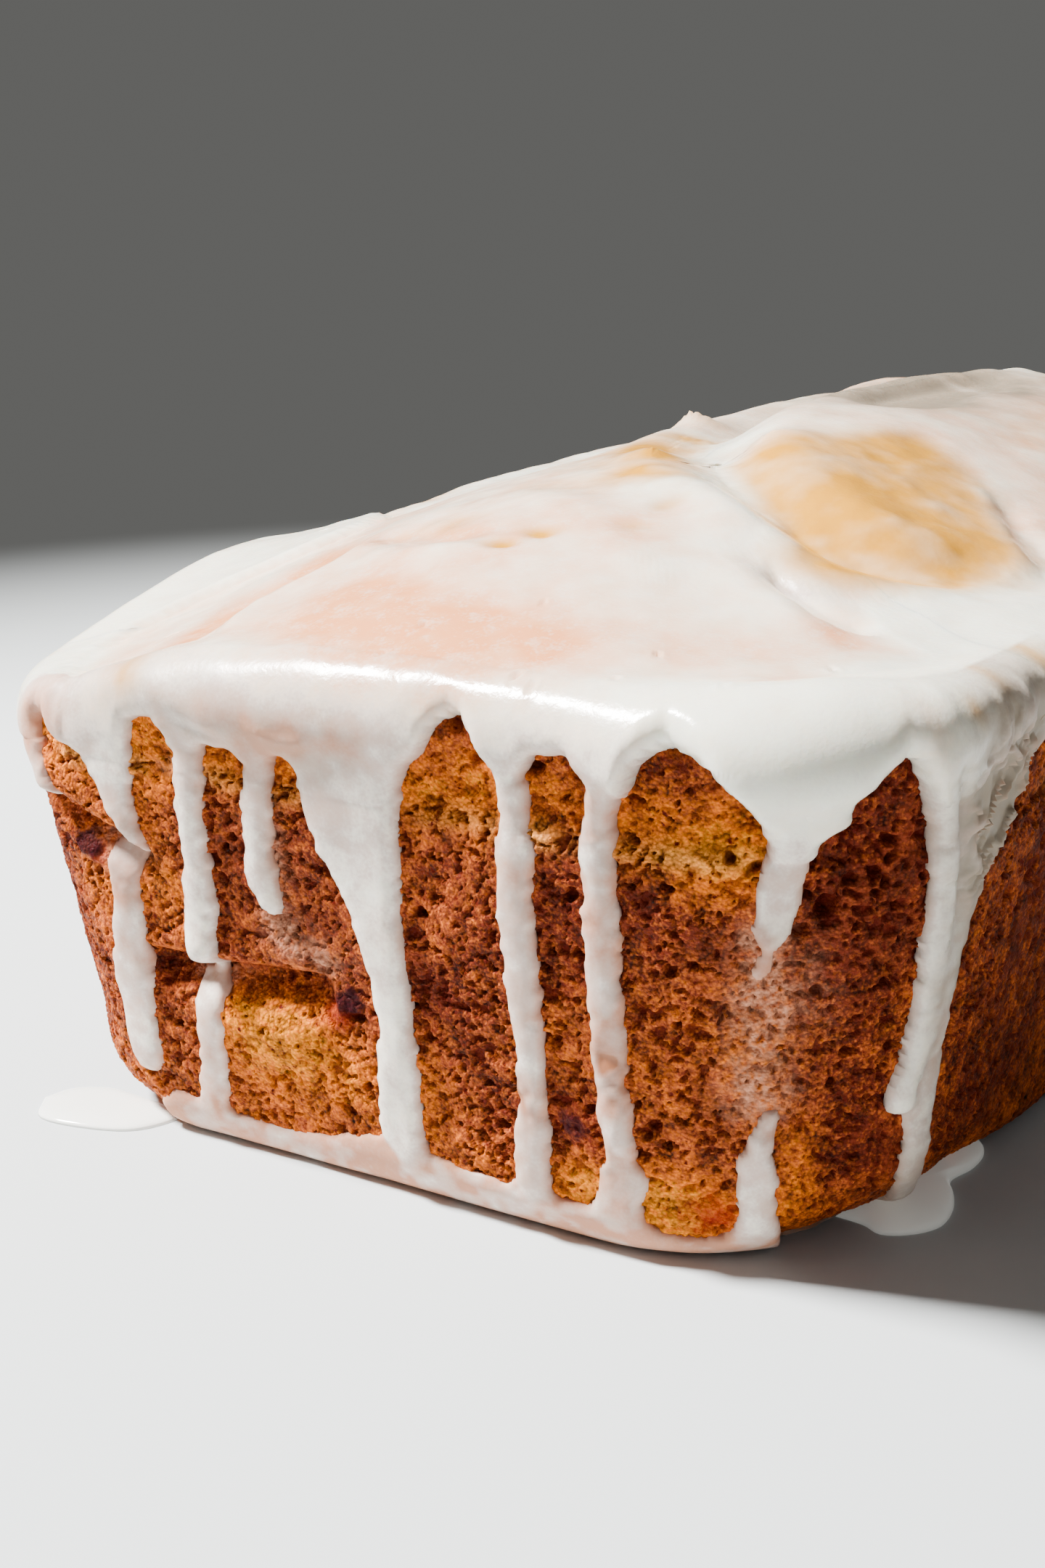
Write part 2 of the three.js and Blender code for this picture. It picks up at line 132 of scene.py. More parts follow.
RIM_HALF_WIDTH = BASE_HALF_WIDTH + FLARE * RIM_HEIGHT
RIM_HALF_LENGTH = BASE_HALF_LENGTH + FLARE * RIM_HEIGHT

# --- Noise and blending ---------------------------------------------------------------

# A distance beyond any on the cake.
FAR = 1e9
# Whole numbers that mix a place and a salt into a draw, as shifts and factors of 32-bit words.
PLACE_FACTORS = (0x8DA6B343, 0xD8163841, 0xCB1AB31F)
SALT_FACTOR = 0x9E3779B1
MIXING = ((15, 0x2C1B3C6D), (12, 0x297A2D39))
LAST_SHIFT = 15
WORDS = 2**32


def clamp(value):
    return np.clip(value, 0, 1)


def stack(*parts):
    return np.stack(parts, axis=-1)


def draws(x, y, z, salt):
    """A repeatable draw from 0 to 1 for each whole-number place."""
    mixed = np.uint32(salt * SALT_FACTOR % WORDS)
    for values, factor in zip((x, y, z), PLACE_FACTORS):
        mixed = mixed ^ values.astype(np.uint32) * np.uint32(factor)
    for shift, factor in MIXING:
        mixed ^= mixed >> np.uint32(shift)
        mixed *= np.uint32(factor)
    mixed ^= mixed >> np.uint32(LAST_SHIFT)
    return mixed / float(WORDS)


def noise(points, size, salt):
    """Smooth noise from -1 to 1 with features of the given size in mm."""
    scaled = points / size
    low = np.floor(scaled).astype(np.int64)
    share = scaled - low
    share = share * share * (3 - 2 * share)
    total = 0.0
    for corner in range(8):
        step = np.array([corner & 1, corner >> 1 & 1, corner >> 2])
        weight = np.prod(np.where(step, share, 1 - share), axis=-1)
        total = total + weight * draws(*np.moveaxis(low + step, -1, 0), salt)
    return total * 2 - 1


def drift(points, size, salt):
    """Smooth noise in each of the three directions."""
    return stack(*(noise(points, size, salt + k) for k in range(3)))


def layered_noise(points, size, salt, layers=3):
    """Noise with finer layers on it, each half as large and half as strong as the last."""
    return sum(noise(points, size / 2**k, salt + k) / 2**k for k in range(layers))


def cells(points, size, salt):
    """Distance to the nearest of scattered seeds, in units of size, and that seed's draw."""
    scaled = points / size
    low = np.floor(scaled).astype(np.int64)
    best = np.full(points.shape[:-1], FAR)
    draw = np.zeros(points.shape[:-1])
    for step in np.ndindex(3, 3, 3):
        place = low + (np.array(step) - 1)
        x, y, z = np.moveaxis(place, -1, 0)
        seed = place + stack(*(draws(x, y, z, salt + k) for k in range(3)))
        distance = np.sqrt(((scaled - seed) ** 2).sum(axis=-1))
        nearer = distance < best
        best = np.where(nearer, distance, best)
        draw = np.where(nearer, draws(x, y, z, salt + 3), draw)
    return best, draw


def gauss(distance, spread):
    return np.exp(-(distance * distance) / (2 * spread * spread))


def smooth_step(low, high, value):
    share = clamp((value - low) / (high - low))
    return share * share * (3 - 2 * share)


def plateau(rise, fall, value):
    """One between a rise and a fall, given as where each starts and ends, and zero outside."""
    return smooth_step(*rise, value) * smooth_step(*fall, value)


def smooth_max(a, b, blend):
    share = clamp(0.5 + 0.5 * (a - b) / blend)
    return b + (a - b) * share + blend * share * (1 - share)


# --- Outline ------------------------------------------------------------------------

SIDES = np.array([(1, -1), (1, 1), (-1, 1), (-1, -1)])
RADII = np.array([CORNER_RADIUS] * 3 + [TIGHT_CORNER_RADIUS])
ACROSS = BASE_HALF_WIDTH + FLARE * REFERENCE_HEIGHT - RADII
ALONG = BASE_HALF_LENGTH + FLARE * REFERENCE_HEIGHT - RADII
ARCS = RADII * math.pi / 2
QUARTER_LENGTHS = ACROSS + ARCS + ALONG
QUARTER_ENDS = np.cumsum(QUARTER_LENGTHS)
PERIMETER = float(QUARTER_ENDS[-1])


def walk_between(start, end):
    """The signed walk from one place to another, the short way round."""
    return np.mod(end - start + PERIMETER / 2, PERIMETER) - PERIMETER / 2


def outline_at(s):
    rest = np.mod(s, PERIMETER)
    index = np.minimum(np.searchsorted(QUARTER_ENDS, rest), 3)
    rest = rest - (QUARTER_ENDS - QUARTER_LENGTHS)[index]
    walked = np.where(index % 2 == 0, rest, QUARTER_LENGTHS[index] - rest)
    angle = np.clip((walked - ACROSS[index]) / RADII[index], 0, math.pi / 2)
    down = clamp((walked - ACROSS[index] - ARCS[index]) / ALONG[index])
    side = SIDES[index]
    return dict(
        s=s,
        radius=RADII[index],
        across=side[..., 0] * clamp(walked / ACROSS[index]),
        along=side[..., 1] * (1 - down),
        normal_x=side[..., 0] * np.sin(angle),
        normal_y=side[..., 1] * np.cos(angle),
    )


def point_on(place, half_width, half_length, radius):
    x = place["across"] * (half_width - radius) + place["normal_x"] * radius
    y = place["along"] * (half_length - radius) + place["normal_y"] * radius
    return x, y


# --- Form of the loaf ---------------------------------------------------------------


def rim_at(x, y):
    height = RIM_HEIGHT
    for dip_x, dip_y, depth, spread in RIM_DIPS:
        height = height - depth * gauss(np.hypot(x - dip_x, y - dip_y), spread)
    return height


# Which knots each step of the curve's construction blends between.
SPLINE_SPANS = (((0, 1), (1, 2), (2, 3)), ((0, 2), (1, 3)), ((1, 2),))
SPLINE_STEPS = 20


def spline(route, count):
    """Evenly spread points of a centripetal Catmull-Rom curve through the route."""
    knots = np.array(route, float)
    knots = np.vstack([2 * knots[0] - knots[1], knots, 2 * knots[-1] - knots[-2]])
    found = []
    for index in range(1, len(knots) - 2):
        level = knots[index - 1:index + 3]
        steps = np.linalg.norm(np.diff(level, axis=0), axis=1) ** 0.5
        at = np.concatenate([[0], np.cumsum(steps)])
        t = np.linspace(at[1], at[2], SPLINE_STEPS, endpoint=False)[:, None]
        for spans in SPLINE_SPANS:
            level = [
                (level[k] * (at[high] - t) + level[k + 1] * (t - at[low])) / (at[high] - at[low])
                for k, (low, high) in enumerate(spans)
            ]
        found.append(level[0])
    found = np.vstack([*found, knots[-2]])
    walked = np.concatenate([[0], np.cumsum(np.linalg.norm(np.diff(found, axis=0), axis=1))])
    even = np.linspace(0, walked[-1], count)
    return stack(*(np.interp(even, walked, column) for column in found.T))


CRACK_LINE = spline(CRACK_ROUTE, 97)


def distance_to(line, x, y):
    """Distance to a line given by close points, and the share of the line walked there."""
    best = np.full(np.broadcast(x, y).shape, FAR)
    share = np.zeros_like(best)
    for index, (line_x, line_y) in enumerate(line):
        distance = np.hypot(x - line_x, y - line_y)
        nearer = distance < best
        best = np.where(nearer, distance, best)
        share = np.where(nearer, index / (len(line) - 1), share)
    return best, share


def top_height(x, y):
    across = np.cos(math.pi / 2 * clamp(np.abs(x) / RIM_HALF_WIDTH)) ** DOME_CROSS_POWER
    along = 1 - clamp(np.abs(y) / RIM_HALF_LENGTH) ** DOME_LENGTH_POWER
    swelling = gauss(x - MOUND["x"], MOUND["spread_x"]) * gauss(y - MOUND["y"], MOUND["spread_y"])
    distance, _ = distance_to(CRACK_LINE, x, y)
    lips = CRACK["lip_rise"] * gauss(distance - CRACK["lip_distance"], CRACK["lip_width"])
    cracked = lips - CRACK["depth"] * gauss(distance, CRACK["half_width"])
    open_share = clamp(across * along * CRACK["opening"])
    return rim_at(x, y) + DOME_RISE * across * along + MOUND["rise"] * swelling + open_share * cracked


def top_middle():
    """The point of the top above TOP_CENTRE, as a row of one."""
    return np.array([[*TOP_CENTRE, float(top_height(*np.array(TOP_CENTRE)))]])


def smooth_ledge(z, softness):
    return LEDGE["step"] / (1 + np.exp(np.clip((z - LEDGE["height"]) / softness, -40, 40)))


def broad_relief(s, z):
    turn = 2 * math.pi * np.mod(s, PERIMETER) / PERIMETER
    swelling = np.sin(SWELL["waves"][0] * turn + z / SWELL["heights"][0])
    swelling = swelling + np.sin(SWELL["waves"][1] * turn - z / SWELL["heights"][1])
    belly = BULGE["rise"] * gauss(walk_between(BULGE["s"], s), BULGE["spread_s"])
    belly = belly * gauss(z - BULGE["z"], BULGE["spread_z"])
    step = smooth_ledge(z, LEDGE["softness"])
    return clamp(z / FOOT_ROUNDING) * (step + SWELL["amount"] * 0.5 * swelling + belly)


def fold_relief(s, z):
    """The folds, inwards: sharp under an overhang and easing out below it."""
    relief = 0.0
    for start, end, level, slope, depth, half_height in FOLDS:
        off = walk_between((start + end) / 2, s)
        ends = smooth_step(0, FOLD_ENDS, (end - start) / 2 - np.abs(off))
        above = z - (level + slope * off)
        spread = np.where(above > 0, FOLD["over"] * half_height, FOLD["under"] * half_height)
        relief = relief - ends * depth * gauss(above, spread)
        lip = gauss(above - FOLD["lip_height"] * half_height, half_height)
        relief = relief + ends * FOLD["lip_rise"] * lip
    return relief


def foot_inset(place, z):
    """How far the foot's rounding takes the wall in at each height."""
    corner_share = 2 * np.abs(place["normal_x"] * place["normal_y"])
    tuck = gauss(walk_between(FOOT_TUCK["s"], place["s"]), FOOT_TUCK["spread"])
    rounding = FOOT_ROUNDING + FOOT_CORNER_ROUNDING * corner_share + FOOT_TUCK["amount"] * tuck
    rest = np.clip(rounding - z, 0, rounding)
    return rounding - np.sqrt(rounding**2 - rest**2)


def wall_xy(s, z, out):
    place = outline_at(s)
    grown = FLARE * z - foot_inset(place, z)
    x, y = point_on(place, BASE_HALF_WIDTH + grown, BASE_HALF_LENGTH + grown, place["radius"])
    return x + place["normal_x"] * out, y + place["normal_y"] * out


def rim_near(s):
    place = outline_at(s)
    return rim_at(*point_on(place, RIM_HALF_WIDTH, RIM_HALF_LENGTH, place["radius"]))


FIXED_LEVEL = 40.0


def squeeze(s, level):
    """Levels above FIXED_LEVEL are squeezed where the rim is low."""
    share = (level - FIXED_LEVEL) / (RIM_HEIGHT - RIM_ROUNDING - FIXED_LEVEL)
    low = FIXED_LEVEL + share * (rim_near(s) - RIM_ROUNDING - FIXED_LEVEL)
    return np.where(level <= FIXED_LEVEL, level, low)


def rim_ring(s):
    """The ring where the rim's rounding ends and the top begins."""
    place = outline_at(s)
    radius = place["radius"] * (1 - SHOULDER_INSET / RIM_HALF_WIDTH)
    half_width, half_length = RIM_HALF_WIDTH - SHOULDER_INSET, RIM_HALF_LENGTH - SHOULDER_INSET
    x, y = point_on(place, half_width, half_length, radius)
    return stack(x, y, top_height(x, y))


def wall_points(s, z):
    return stack(*wall_xy(s, z, broad_relief(s, z)), z)


def surface(s, levels, turns, shares):
    """The loaf's surface as rows of points: up the wall, round the rim, and to the middle.

    levels are heights up the wall, turns are parts of the rim's rounding from 0 to 1, and
    shares shrink the top's rings towards TOP_CENTRE. Returns points and each point's s and z.
    """
    rows_s = np.broadcast_to(s, (len(levels), len(s)))
    wall = wall_points(rows_s, squeeze(rows_s, levels[:, None]))

    ring = rim_ring(s)
    start = wall_points(s, rim_near(s) - RIM_ROUNDING)
    angle = turns[:, None] * math.pi / 2
    inward = 1 - np.cos(angle)
    shoulder = start + (ring - start) * stack(inward, inward, np.sin(angle))

    top_x, top_y = (TOP_CENTRE[k] + (ring[:, k] - TOP_CENTRE[k]) * shares[:, None] for k in (0, 1))
    top = stack(top_x, top_y, top_height(top_x, top_y))
    points = np.concatenate([wall, shoulder, top])
    return points, np.broadcast_to(s, points.shape[:2]), points[..., 2]


def normals_of(points):
    """Outward normals of a grid of points whose columns follow the walk."""
    normal = np.cross(np.gradient(points, axis=1), np.gradient(points, axis=0))
    return normal / np.maximum(np.linalg.norm(normal, axis=-1, keepdims=True), 1e-9)


# --- Meshes -------------------------------------------------------------------------


def make_mesh(name, body, flat_faces, attributes, material, nodes=()):
    """A smooth piece on the root body, whose last flat_faces faces are flat."""
    points, values = body.arrays()
    faces = [[int(corner) for corner in face] for face in body.faces]
    mesh = bpy.data.meshes.new(name)
    mesh.from_pydata((points * MM).tolist(), [], faces)
    for column, key in enumerate(attributes):
        layer = mesh.attributes.new(key, "FLOAT", "POINT")
        layer.data.foreach_set("value", values[:, column].astype(np.float32))
    mesh.shade_smooth()
    for polygon in mesh.polygons[len(faces) - flat_faces:]:
        polygon.use_smooth = False
        for corner in polygon.loop_indices:
            mesh.edges[mesh.loops[corner].edge_index].use_edge_sharp = True
    mesh.materials.append(material)
    piece = add_object(name, mesh)
    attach(piece, "root")
    if nodes:
        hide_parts(*nodes)
    return piece


class Rows:
    """Vertices laid in rows, each with its own number of columns, and the faces between."""

    def __init__(self):
        self.points, self.values, self.faces, self.count = [], [], [], 0

    def add(self, points, values):
        self.points.append(points)
        self.values.append(values)
        start = self.count
        self.count += len(points)
        return np.arange(start, self.count)

    def join(self, lower, upper, closed=False, flip=False):
        """Joins two rows; where the upper has fewer columns, each of its steps takes several."""
        ratio = round((len(lower) - (not closed)) / (len(upper) - (not closed)))
        steps = len(upper) - (not closed)
        for step in range(steps):
            a, b = upper[step], upper[(step + 1) % len(upper)]
            low = [lower[(step * ratio + k) % len(lower)] for k in range(ratio + 1)]
            face = [*low, b, a]
            self.faces.append(face[::-1] if flip else face)

    def fan(self, row, middle, closed=False, flip=False):
        for step in range(len(row) - (not closed)):
            face = [row[step], row[(step + 1) % len(row)], middle]
            self.faces.append(face[::-1] if flip else face)

    def arrays(self):
        values = np.concatenate([np.atleast_2d(v) for v in self.values])
        return np.concatenate(self.points), values


# --- Crumb --------------------------------------------------------------------------

# Pores: spacing, least and greatest radius in mm, how rare the large ones are, and depth.
PORES = ((2.7, 0.3, 1.0, 1.6, 1.2), (1.15, 0.16, 0.48, 0.9, 0.8))
PORE_FLATNESS = 1.35
PORE_FLOOR = 0.45
# Grain and roughness of the crumb, and patches where it is torn: sizes and heights in mm.
GRAIN = dict(size=0.62, height=0.24, middle=0.55)
ROUGH = dict(size=1.9, height=0.1)
TORN = dict(size=0.95, drift=0.12, range=(0.3, 0.62), closed=0.75, depth=0.5)
# The crisp grains on the ledge, whose colour is partly a painted highlight along its top, and how dark
# the crust baked, with painted shade in the folds.
CRISP_AND_LIT_LEDGE = dict(above_ledge=0.4, spread=0.85, height=0.55)
BAKE = dict(
    usual=0.74, broad=0.14, fine=0.1, pale_band=0.4, band_height=3.4, band_spread=3.0, pale_foot=0.2,
    folds=0.25,
)
# Where on the walk the browner near corner starts and ends; the crumb is close above a height.
NEAR_CORNER = ((40, 47), (86, 78))
CLOSE_ABOVE = (46, 48)
# Torn holes: s, z, radius, depth.
HOLES = (
    (48.2, 41, 1.7, 1.6), (45.4, 38.6, 1.2, 1.3), (47.6, 32.2, 0.9, 1.1), (50.2, 43.8, 1, 1),
    (13.4, 53, 1.3, 1.5), (18.8, 52.9, 1.2, 1.4), (23.9, 53.2, 1.2, 1.4), (10.6, 55.9, 1.2, 1.2),
    (41.2, 45.6, 1, 1.2), (5.6, 35, 1.1, 1.1), (-21, 36.4, 1, 1), (93, 39, 1.5, 1.4),
    (141, 24, 1.2, 1.2), (204, 45, 1.4, 1.4), (255, 18, 1.3, 1.3), (309, 33, 1.5, 1.4),
    (388, 21, 1.2, 1.2), (432, 41, 1.4, 1.3), (498, 30, 1.3, 1.2),
)
HOLE_FLATNESS, HOLE_FLOOR = 1.25, 0.35
# Pieces of fruit at the crust: s, z, radius, and how dark they baked, the rest being red.
FRUIT = (
    (-5.6, 22.4, 2.3, 1), (-7.4, 20.6, 1.3, 0.25), (-40.2, 34.9, 2.2, 1), (-38.5, 33.9, 1.1, 0.3),
    (23.4, 14.7, 2.1, 0.9), (39.3, 6.6, 1.7, 0.1), (127, 17, 2.2, 0.9), (172, 38, 2, 1),
    (262, 23, 2.3, 0.9), (331, 12, 2, 0.6), (391, 36, 2.2, 1), (452, 19, 2, 0.8), (521, 31, 1.9, 0.9),
)
# Where a fruit's skin and its stain start and end, as parts of its radius.
FRUIT_FLATNESS, FRUIT_SKIN, FRUIT_STAIN = 1.2, (1.25, 0.6), (2.4, 0.5)
# Where the crust stayed golden: s, z, spread along, spread up, and how much.
GOLDEN = (
    (-17.5, 18.2, 5.5, 3.2, 0.64), (-16, 14, 9, 4, 0.45), (-43, 43.5, 4.5, 5.5, 0.2),
    (-28.5, 43, 2.6, 5.5, 0.4), (-29.5, 31.5, 3.5, 4, 0.38), (-41, 30, 3.5, 6, 0.28),
    (38, 45, 5, 2.6, 0.55), (25, 7.8, 4, 2.2, 0.72), (35, 6.5, 3.6, 2.6, 1), (47, 12.5, 1.8, 4.6, 0.3),
    (43, 24, 2, 5, 0.2), (48, 6, 4, 2.4, 0.25), (4, 14, 3, 5, 0.12), (110, 12, 12, 5, 0.5),
    (160, 30, 9, 5, 0.45), (221, 22, 9, 5, 0.6), (290, 9, 10, 4, 0.5), (352, 28, 9, 6, 0.5),
    (414, 11, 12, 4, 0.55), (478, 36, 8, 6, 0.45), (505, 12, 9, 5, 0.5),
)
# Where it baked darker, in the same terms.
DARK = (
    (22, 37, 5, 6.5, 0.16), (32, 38.5, 6, 3.6, 0.18), (53, 46, 5.5, 10, 0.36), (-18.5, 38, 4, 5, 0.06),
    (-51, 36, 9, 15, 0.26), (5, 29, 5, 6, 0.05), (-8, 41, 2.5, 4, 0.12), (51, 26, 4.5, 10, 0.16),
    (92, 32, 20, 26, 0.2), (53, 11, 4, 6, 0.2), (-28.4, 40.5, 2.4, 4, 0.22),
)
# Where the pores are wider, in the same terms.
OPEN = ((53, 42, 6, 14, 0.3), (-27, 38, 8, 5, 0.15))
# Smears of icing soaked into the crumb: s, z, spread along, spread up, and how much.
SMEARS = (
    (-12.3, 38.5, 0.9, 3.6, 0.55), (-13.6, 30.2, 1.6, 1.7, 0.75), (-9.5, 26.8, 2.4, 1.6, 0.55),
    (42.3, 36, 1.5, 2.6, 0.95), (42.4, 31, 1.7, 3.2, 0.85), (42.4, 25.5, 1.8, 3.4, 0.7),
    (43.2, 20.5, 1.9, 1.6, 0.85), (46.6, 31.5, 2, 3.5, 0.2), (-26, 21.6, 2.6, 0.8, 0.7),
    (-35.2, 34.6, 2.8, 1.5, 0.6), (-24, 46.3, 2.5, 0.6, 0.3),
)


def patches(s, z, table):
    """Soft patches of the wall, summed: s, z, spread along, spread up, and how much."""
    return sum(
        amount * gauss(walk_between(patch_s, s), along) * gauss(z - patch_z, up)
        for patch_s, patch_z, along, up, amount in table
    )


def soft_relief(points, s, z):
    """The crust's broad waves and folds, which the icing follows too."""
    waves = WAVES["height"] * layered_noise(points, WAVES["size"], 31, 2)
    return (waves + fold_relief(s, z)) * smooth_step(0, FOOT_EASE, z)


def crust_places(s, z):
    """Where the crust baked pale, which is all but the near corner, and how close its crumb is."""
    pale = 1 - plateau(*NEAR_CORNER, walk_between(0, s))
    close = clamp(patches(s, z, GOLDEN)) + 0.6 * pale * smooth_step(*CLOSE_ABOVE, z)
    return pale, close


def cut_pores(lift, flat, open_crumb):
    """The lift with pores cut in it, and how far inside one each place is."""
    pit = np.zeros(lift.shape)
    for index, (size, least, most, rarity, depth) in enumerate(PORES):
        distance, draw = cells(flat, size, 50 + 5 * index)
        radius = (least + (most - least) * draw**rarity) * open_crumb
        inside = smooth_step(1, PORE_FLOOR, distance * size / radius)
        lift = lift - depth * np.minimum(radius, 1) ** 0.5 * inside
        pit = np.maximum(pit, inside)
    return lift, pit


def tear(lift, pit, points, s, z, flat, close, ragged):
    """The lift with torn patches and the larger torn holes cut in it, and its pits."""
    torn = layered_noise(flat, TORN["size"], 61, 2) + TORN["drift"] * noise(points, 5, 64)
    torn = smooth_step(*TORN["range"], torn) * clamp(1 - TORN["closed"] * close)
    lift = lift - TORN["depth"] * torn * (1 - pit)
    pit = np.maximum(pit, torn)
    for hole_s, hole_z, radius, depth in HOLES:
        distance = np.hypot(walk_between(hole_s, s), HOLE_FLATNESS * (z - hole_z)) * ragged
        inside = smooth_step(radius, HOLE_FLOOR * radius, distance)
        lift = lift - depth * inside
        pit = np.maximum(pit, inside)
    return lift, pit


def set_fruit(lift, pit, points, s, z, ragged):
    """The lift and pits with fruit set in the crust, and where it is dark and stained red."""
    fruit, red = np.zeros(s.shape), np.zeros(s.shape)
    for fruit_s, fruit_z, radius, dark in FRUIT:
        distance = np.hypot(walk_between(fruit_s, s), FRUIT_FLATNESS * (z - fruit_z)) * ragged
        inside = smooth_step(*(part * radius for part in FRUIT_SKIN), distance)
        stain = smooth_step(*(part * radius for part in FRUIT_STAIN), distance)
        lift = lift * (1 - 0.6 * inside) + 0.35 * inside * (0.4 + noise(points, 1.1, 77))
        fruit = np.maximum(fruit, inside * dark)
        red = np.maximum(red, stain * (1.1 - dark))
        pit = pit * (1 - inside)
    return lift, pit, fruit, red


def baked(points, s, z, pale):
    """How dark the crust baked, from 0 to 1 and beyond, with painted shade in the folds' creases."""
    bake = BAKE["usual"] + BAKE["broad"] * layered_noise(points, 13, 83, 2)
    bake = bake + BAKE["fine"] * noise(points, 3.4, 86)
    over_ledge = gauss(z - LEDGE["height"] - BAKE["band_height"], BAKE["band_spread"])
    bake = bake - BAKE["pale_band"] * pale * over_ledge - BAKE["pale_foot"] * gauss(z - 3, 4)
    bake = bake - patches(s, z, GOLDEN) + patches(s, z, DARK)
    # Painted shade: darker where the folds sink in.
    return bake + BAKE["folds"] * clamp(-fold_relief(s, z) / 2.2)


def crumb(points, s, z):
    """Lift of the baked crust along its normal, and the values that colour it."""
    warp = 0.6 * drift(points, 1.5, 21) + 0.34 * drift(points, 0.75, 25)
    flat = (points + warp) * (1, 1, PORE_FLATNESS)
    grain, _ = cells(points + 0.4 * warp, GRAIN["size"], 41)
    grain = GRAIN["middle"] - grain
    rough = layered_noise(points, ROUGH["size"], 36, 3)
    ragged = 1 + 0.35 * layered_noise(points, 1.5, 71, 2)
    pale, close = crust_places(s, z)
    open_crumb = 1 + 0.25 * noise(points, 16, 45) + patches(s, z, OPEN) - 0.35 * close

    lift = ROUGH["height"] * rough + GRAIN["height"] * grain
    lift, pit = cut_pores(lift, flat, open_crumb)
    lift, pit = tear(lift, pit, points, s, z, flat, close, ragged)
    lift, pit, fruit, red = set_fruit(lift, pit, points, s, z, ragged)
    # Partly painted highlight: the crisp colour along the ledge's top stands for it catching the light.
    crisp_and_lit = pale * gauss(z - LEDGE["height"] - CRISP_AND_LIT_LEDGE["above_ledge"], CRISP_AND_LIT_LEDGE["spread"])
    crisp_and_lit = crisp_and_lit * clamp(0.7 + 0.8 * noise(points, 4, 81))
    lift = lift + CRISP_AND_LIT_LEDGE["height"] * crisp_and_lit
    lift = lift * smooth_step(0, FOOT_EASE, z) + soft_relief(points, s, z)

    film = patches(s, z, SMEARS) * np.clip(1 + 0.9 * noise(points, 1.3, 88), 0, 2)
    # Painted highlight and shade: lighter where the crumb is raised, darker where it sinks into pits.
    ridge_highlight = 0.5 + 0.5 * rough + 0.9 * grain - 0.3 * pit
    values = (baked(points, s, z, pale), ridge_highlight, pit, film, fruit, red, crisp_and_lit)
    return lift, clamp(np.stack(values, axis=-1))


# Each piece of the sponge: where it starts and ends on the walk, its steps along it, and its
# rows up the wall.
SPONGE_PIECES = (
    ("sponge_front_left", -62.0, 0.4, 272, 228),
    ("sponge_front_right", 0.4, 76.0, 328, 228),
    ("sponge_right", 76.0, PERIMETER / 2, 444, 108),
    ("sponge_left", PERIMETER / 2, PERIMETER - 62.0, 468, 108),
)
CRUMB_ATTRIBUTES = ("bake", "ridge_highlight", "pit", "film", "fruit", "red", "crisp_and_lit")
# Steps round the rim, rings of the top, how much coarser the hidden rows are, and the rings
# of the underside as shares of the foot.
SPONGE_TURNS, SPONGE_RINGS, COARSE_STEP = 7, 63, 4
UNDERSIDE_SHARES = (0.35, 0.7)


def crumb_rows(start, end, steps, wall_rows):
    """Rows of points up the wall and over the top, and the values of the finely worked ones."""
    s = np.linspace(start, end, steps + 1)
    levels = np.linspace(0, RIM_HEIGHT - RIM_ROUNDING, wall_rows)
    turns = np.linspace(0, 1, SPONGE_TURNS + 1)[1:]
    shares = np.linspace(1, 0, SPONGE_RINGS + 1)[1:-1]
    points, rows_s, rows_z = surface(s, levels, turns, shares)
    fine = len(levels) + len(turns)
    lift, values = crumb(points[:fine], rows_s[:fine], rows_z[:fine])
    points[:fine] += normals_of(points)[:fine] * lift[..., None]
    points[..., 2] = np.maximum(points[..., 2], 0)
    return points, values


def sponge_piece(name, start, end, steps, wall_rows, material):
    """A wedge of the loaf from the upright through TOP_CENTRE out to its stretch of wall."""
    points, values = crumb_rows(start, end, steps, wall_rows)
    plain = np.zeros((steps + 1, len(CRUMB_ATTRIBUTES)))
    coarse = slice(None, None, COARSE_STEP)
    body = Rows()
    middle = np.array([[*TOP_CENTRE, 0.0]])
    low_middle = body.add(middle, plain[:1])[0]
    rows = []
    for share in UNDERSIDE_SHARES:
        ring = middle + (points[0] - middle) * share
        rows.append(body.add(ring[coarse], plain[coarse]))
    rows += [body.add(row, row_values) for row, row_values in zip(points, values)]
    rows += [body.add(row[coarse], plain[coarse]) for row in points[len(values):]]
    high_middle = body.add(top_middle(), plain[:1])[0]

    body.fan(rows[0], low_middle, flip=True)
    for lower, upper in zip(rows, rows[1:]):
        if len(lower) >= len(upper):
            body.join(lower, upper)
        else:
            body.join(upper, lower, flip=True)
    body.fan(rows[-1], high_middle)
    for column, flip in ((0, False), (-1, True)):
        side = [low_middle, *(row[column] for row in rows), high_middle]
        body.faces.append(side[::-1] if flip else side)
    return make_mesh(name, body, 2, CRUMB_ATTRIBUTES, material, ["sponge"])


# --- Icing on the walls -------------------------------------------------------------

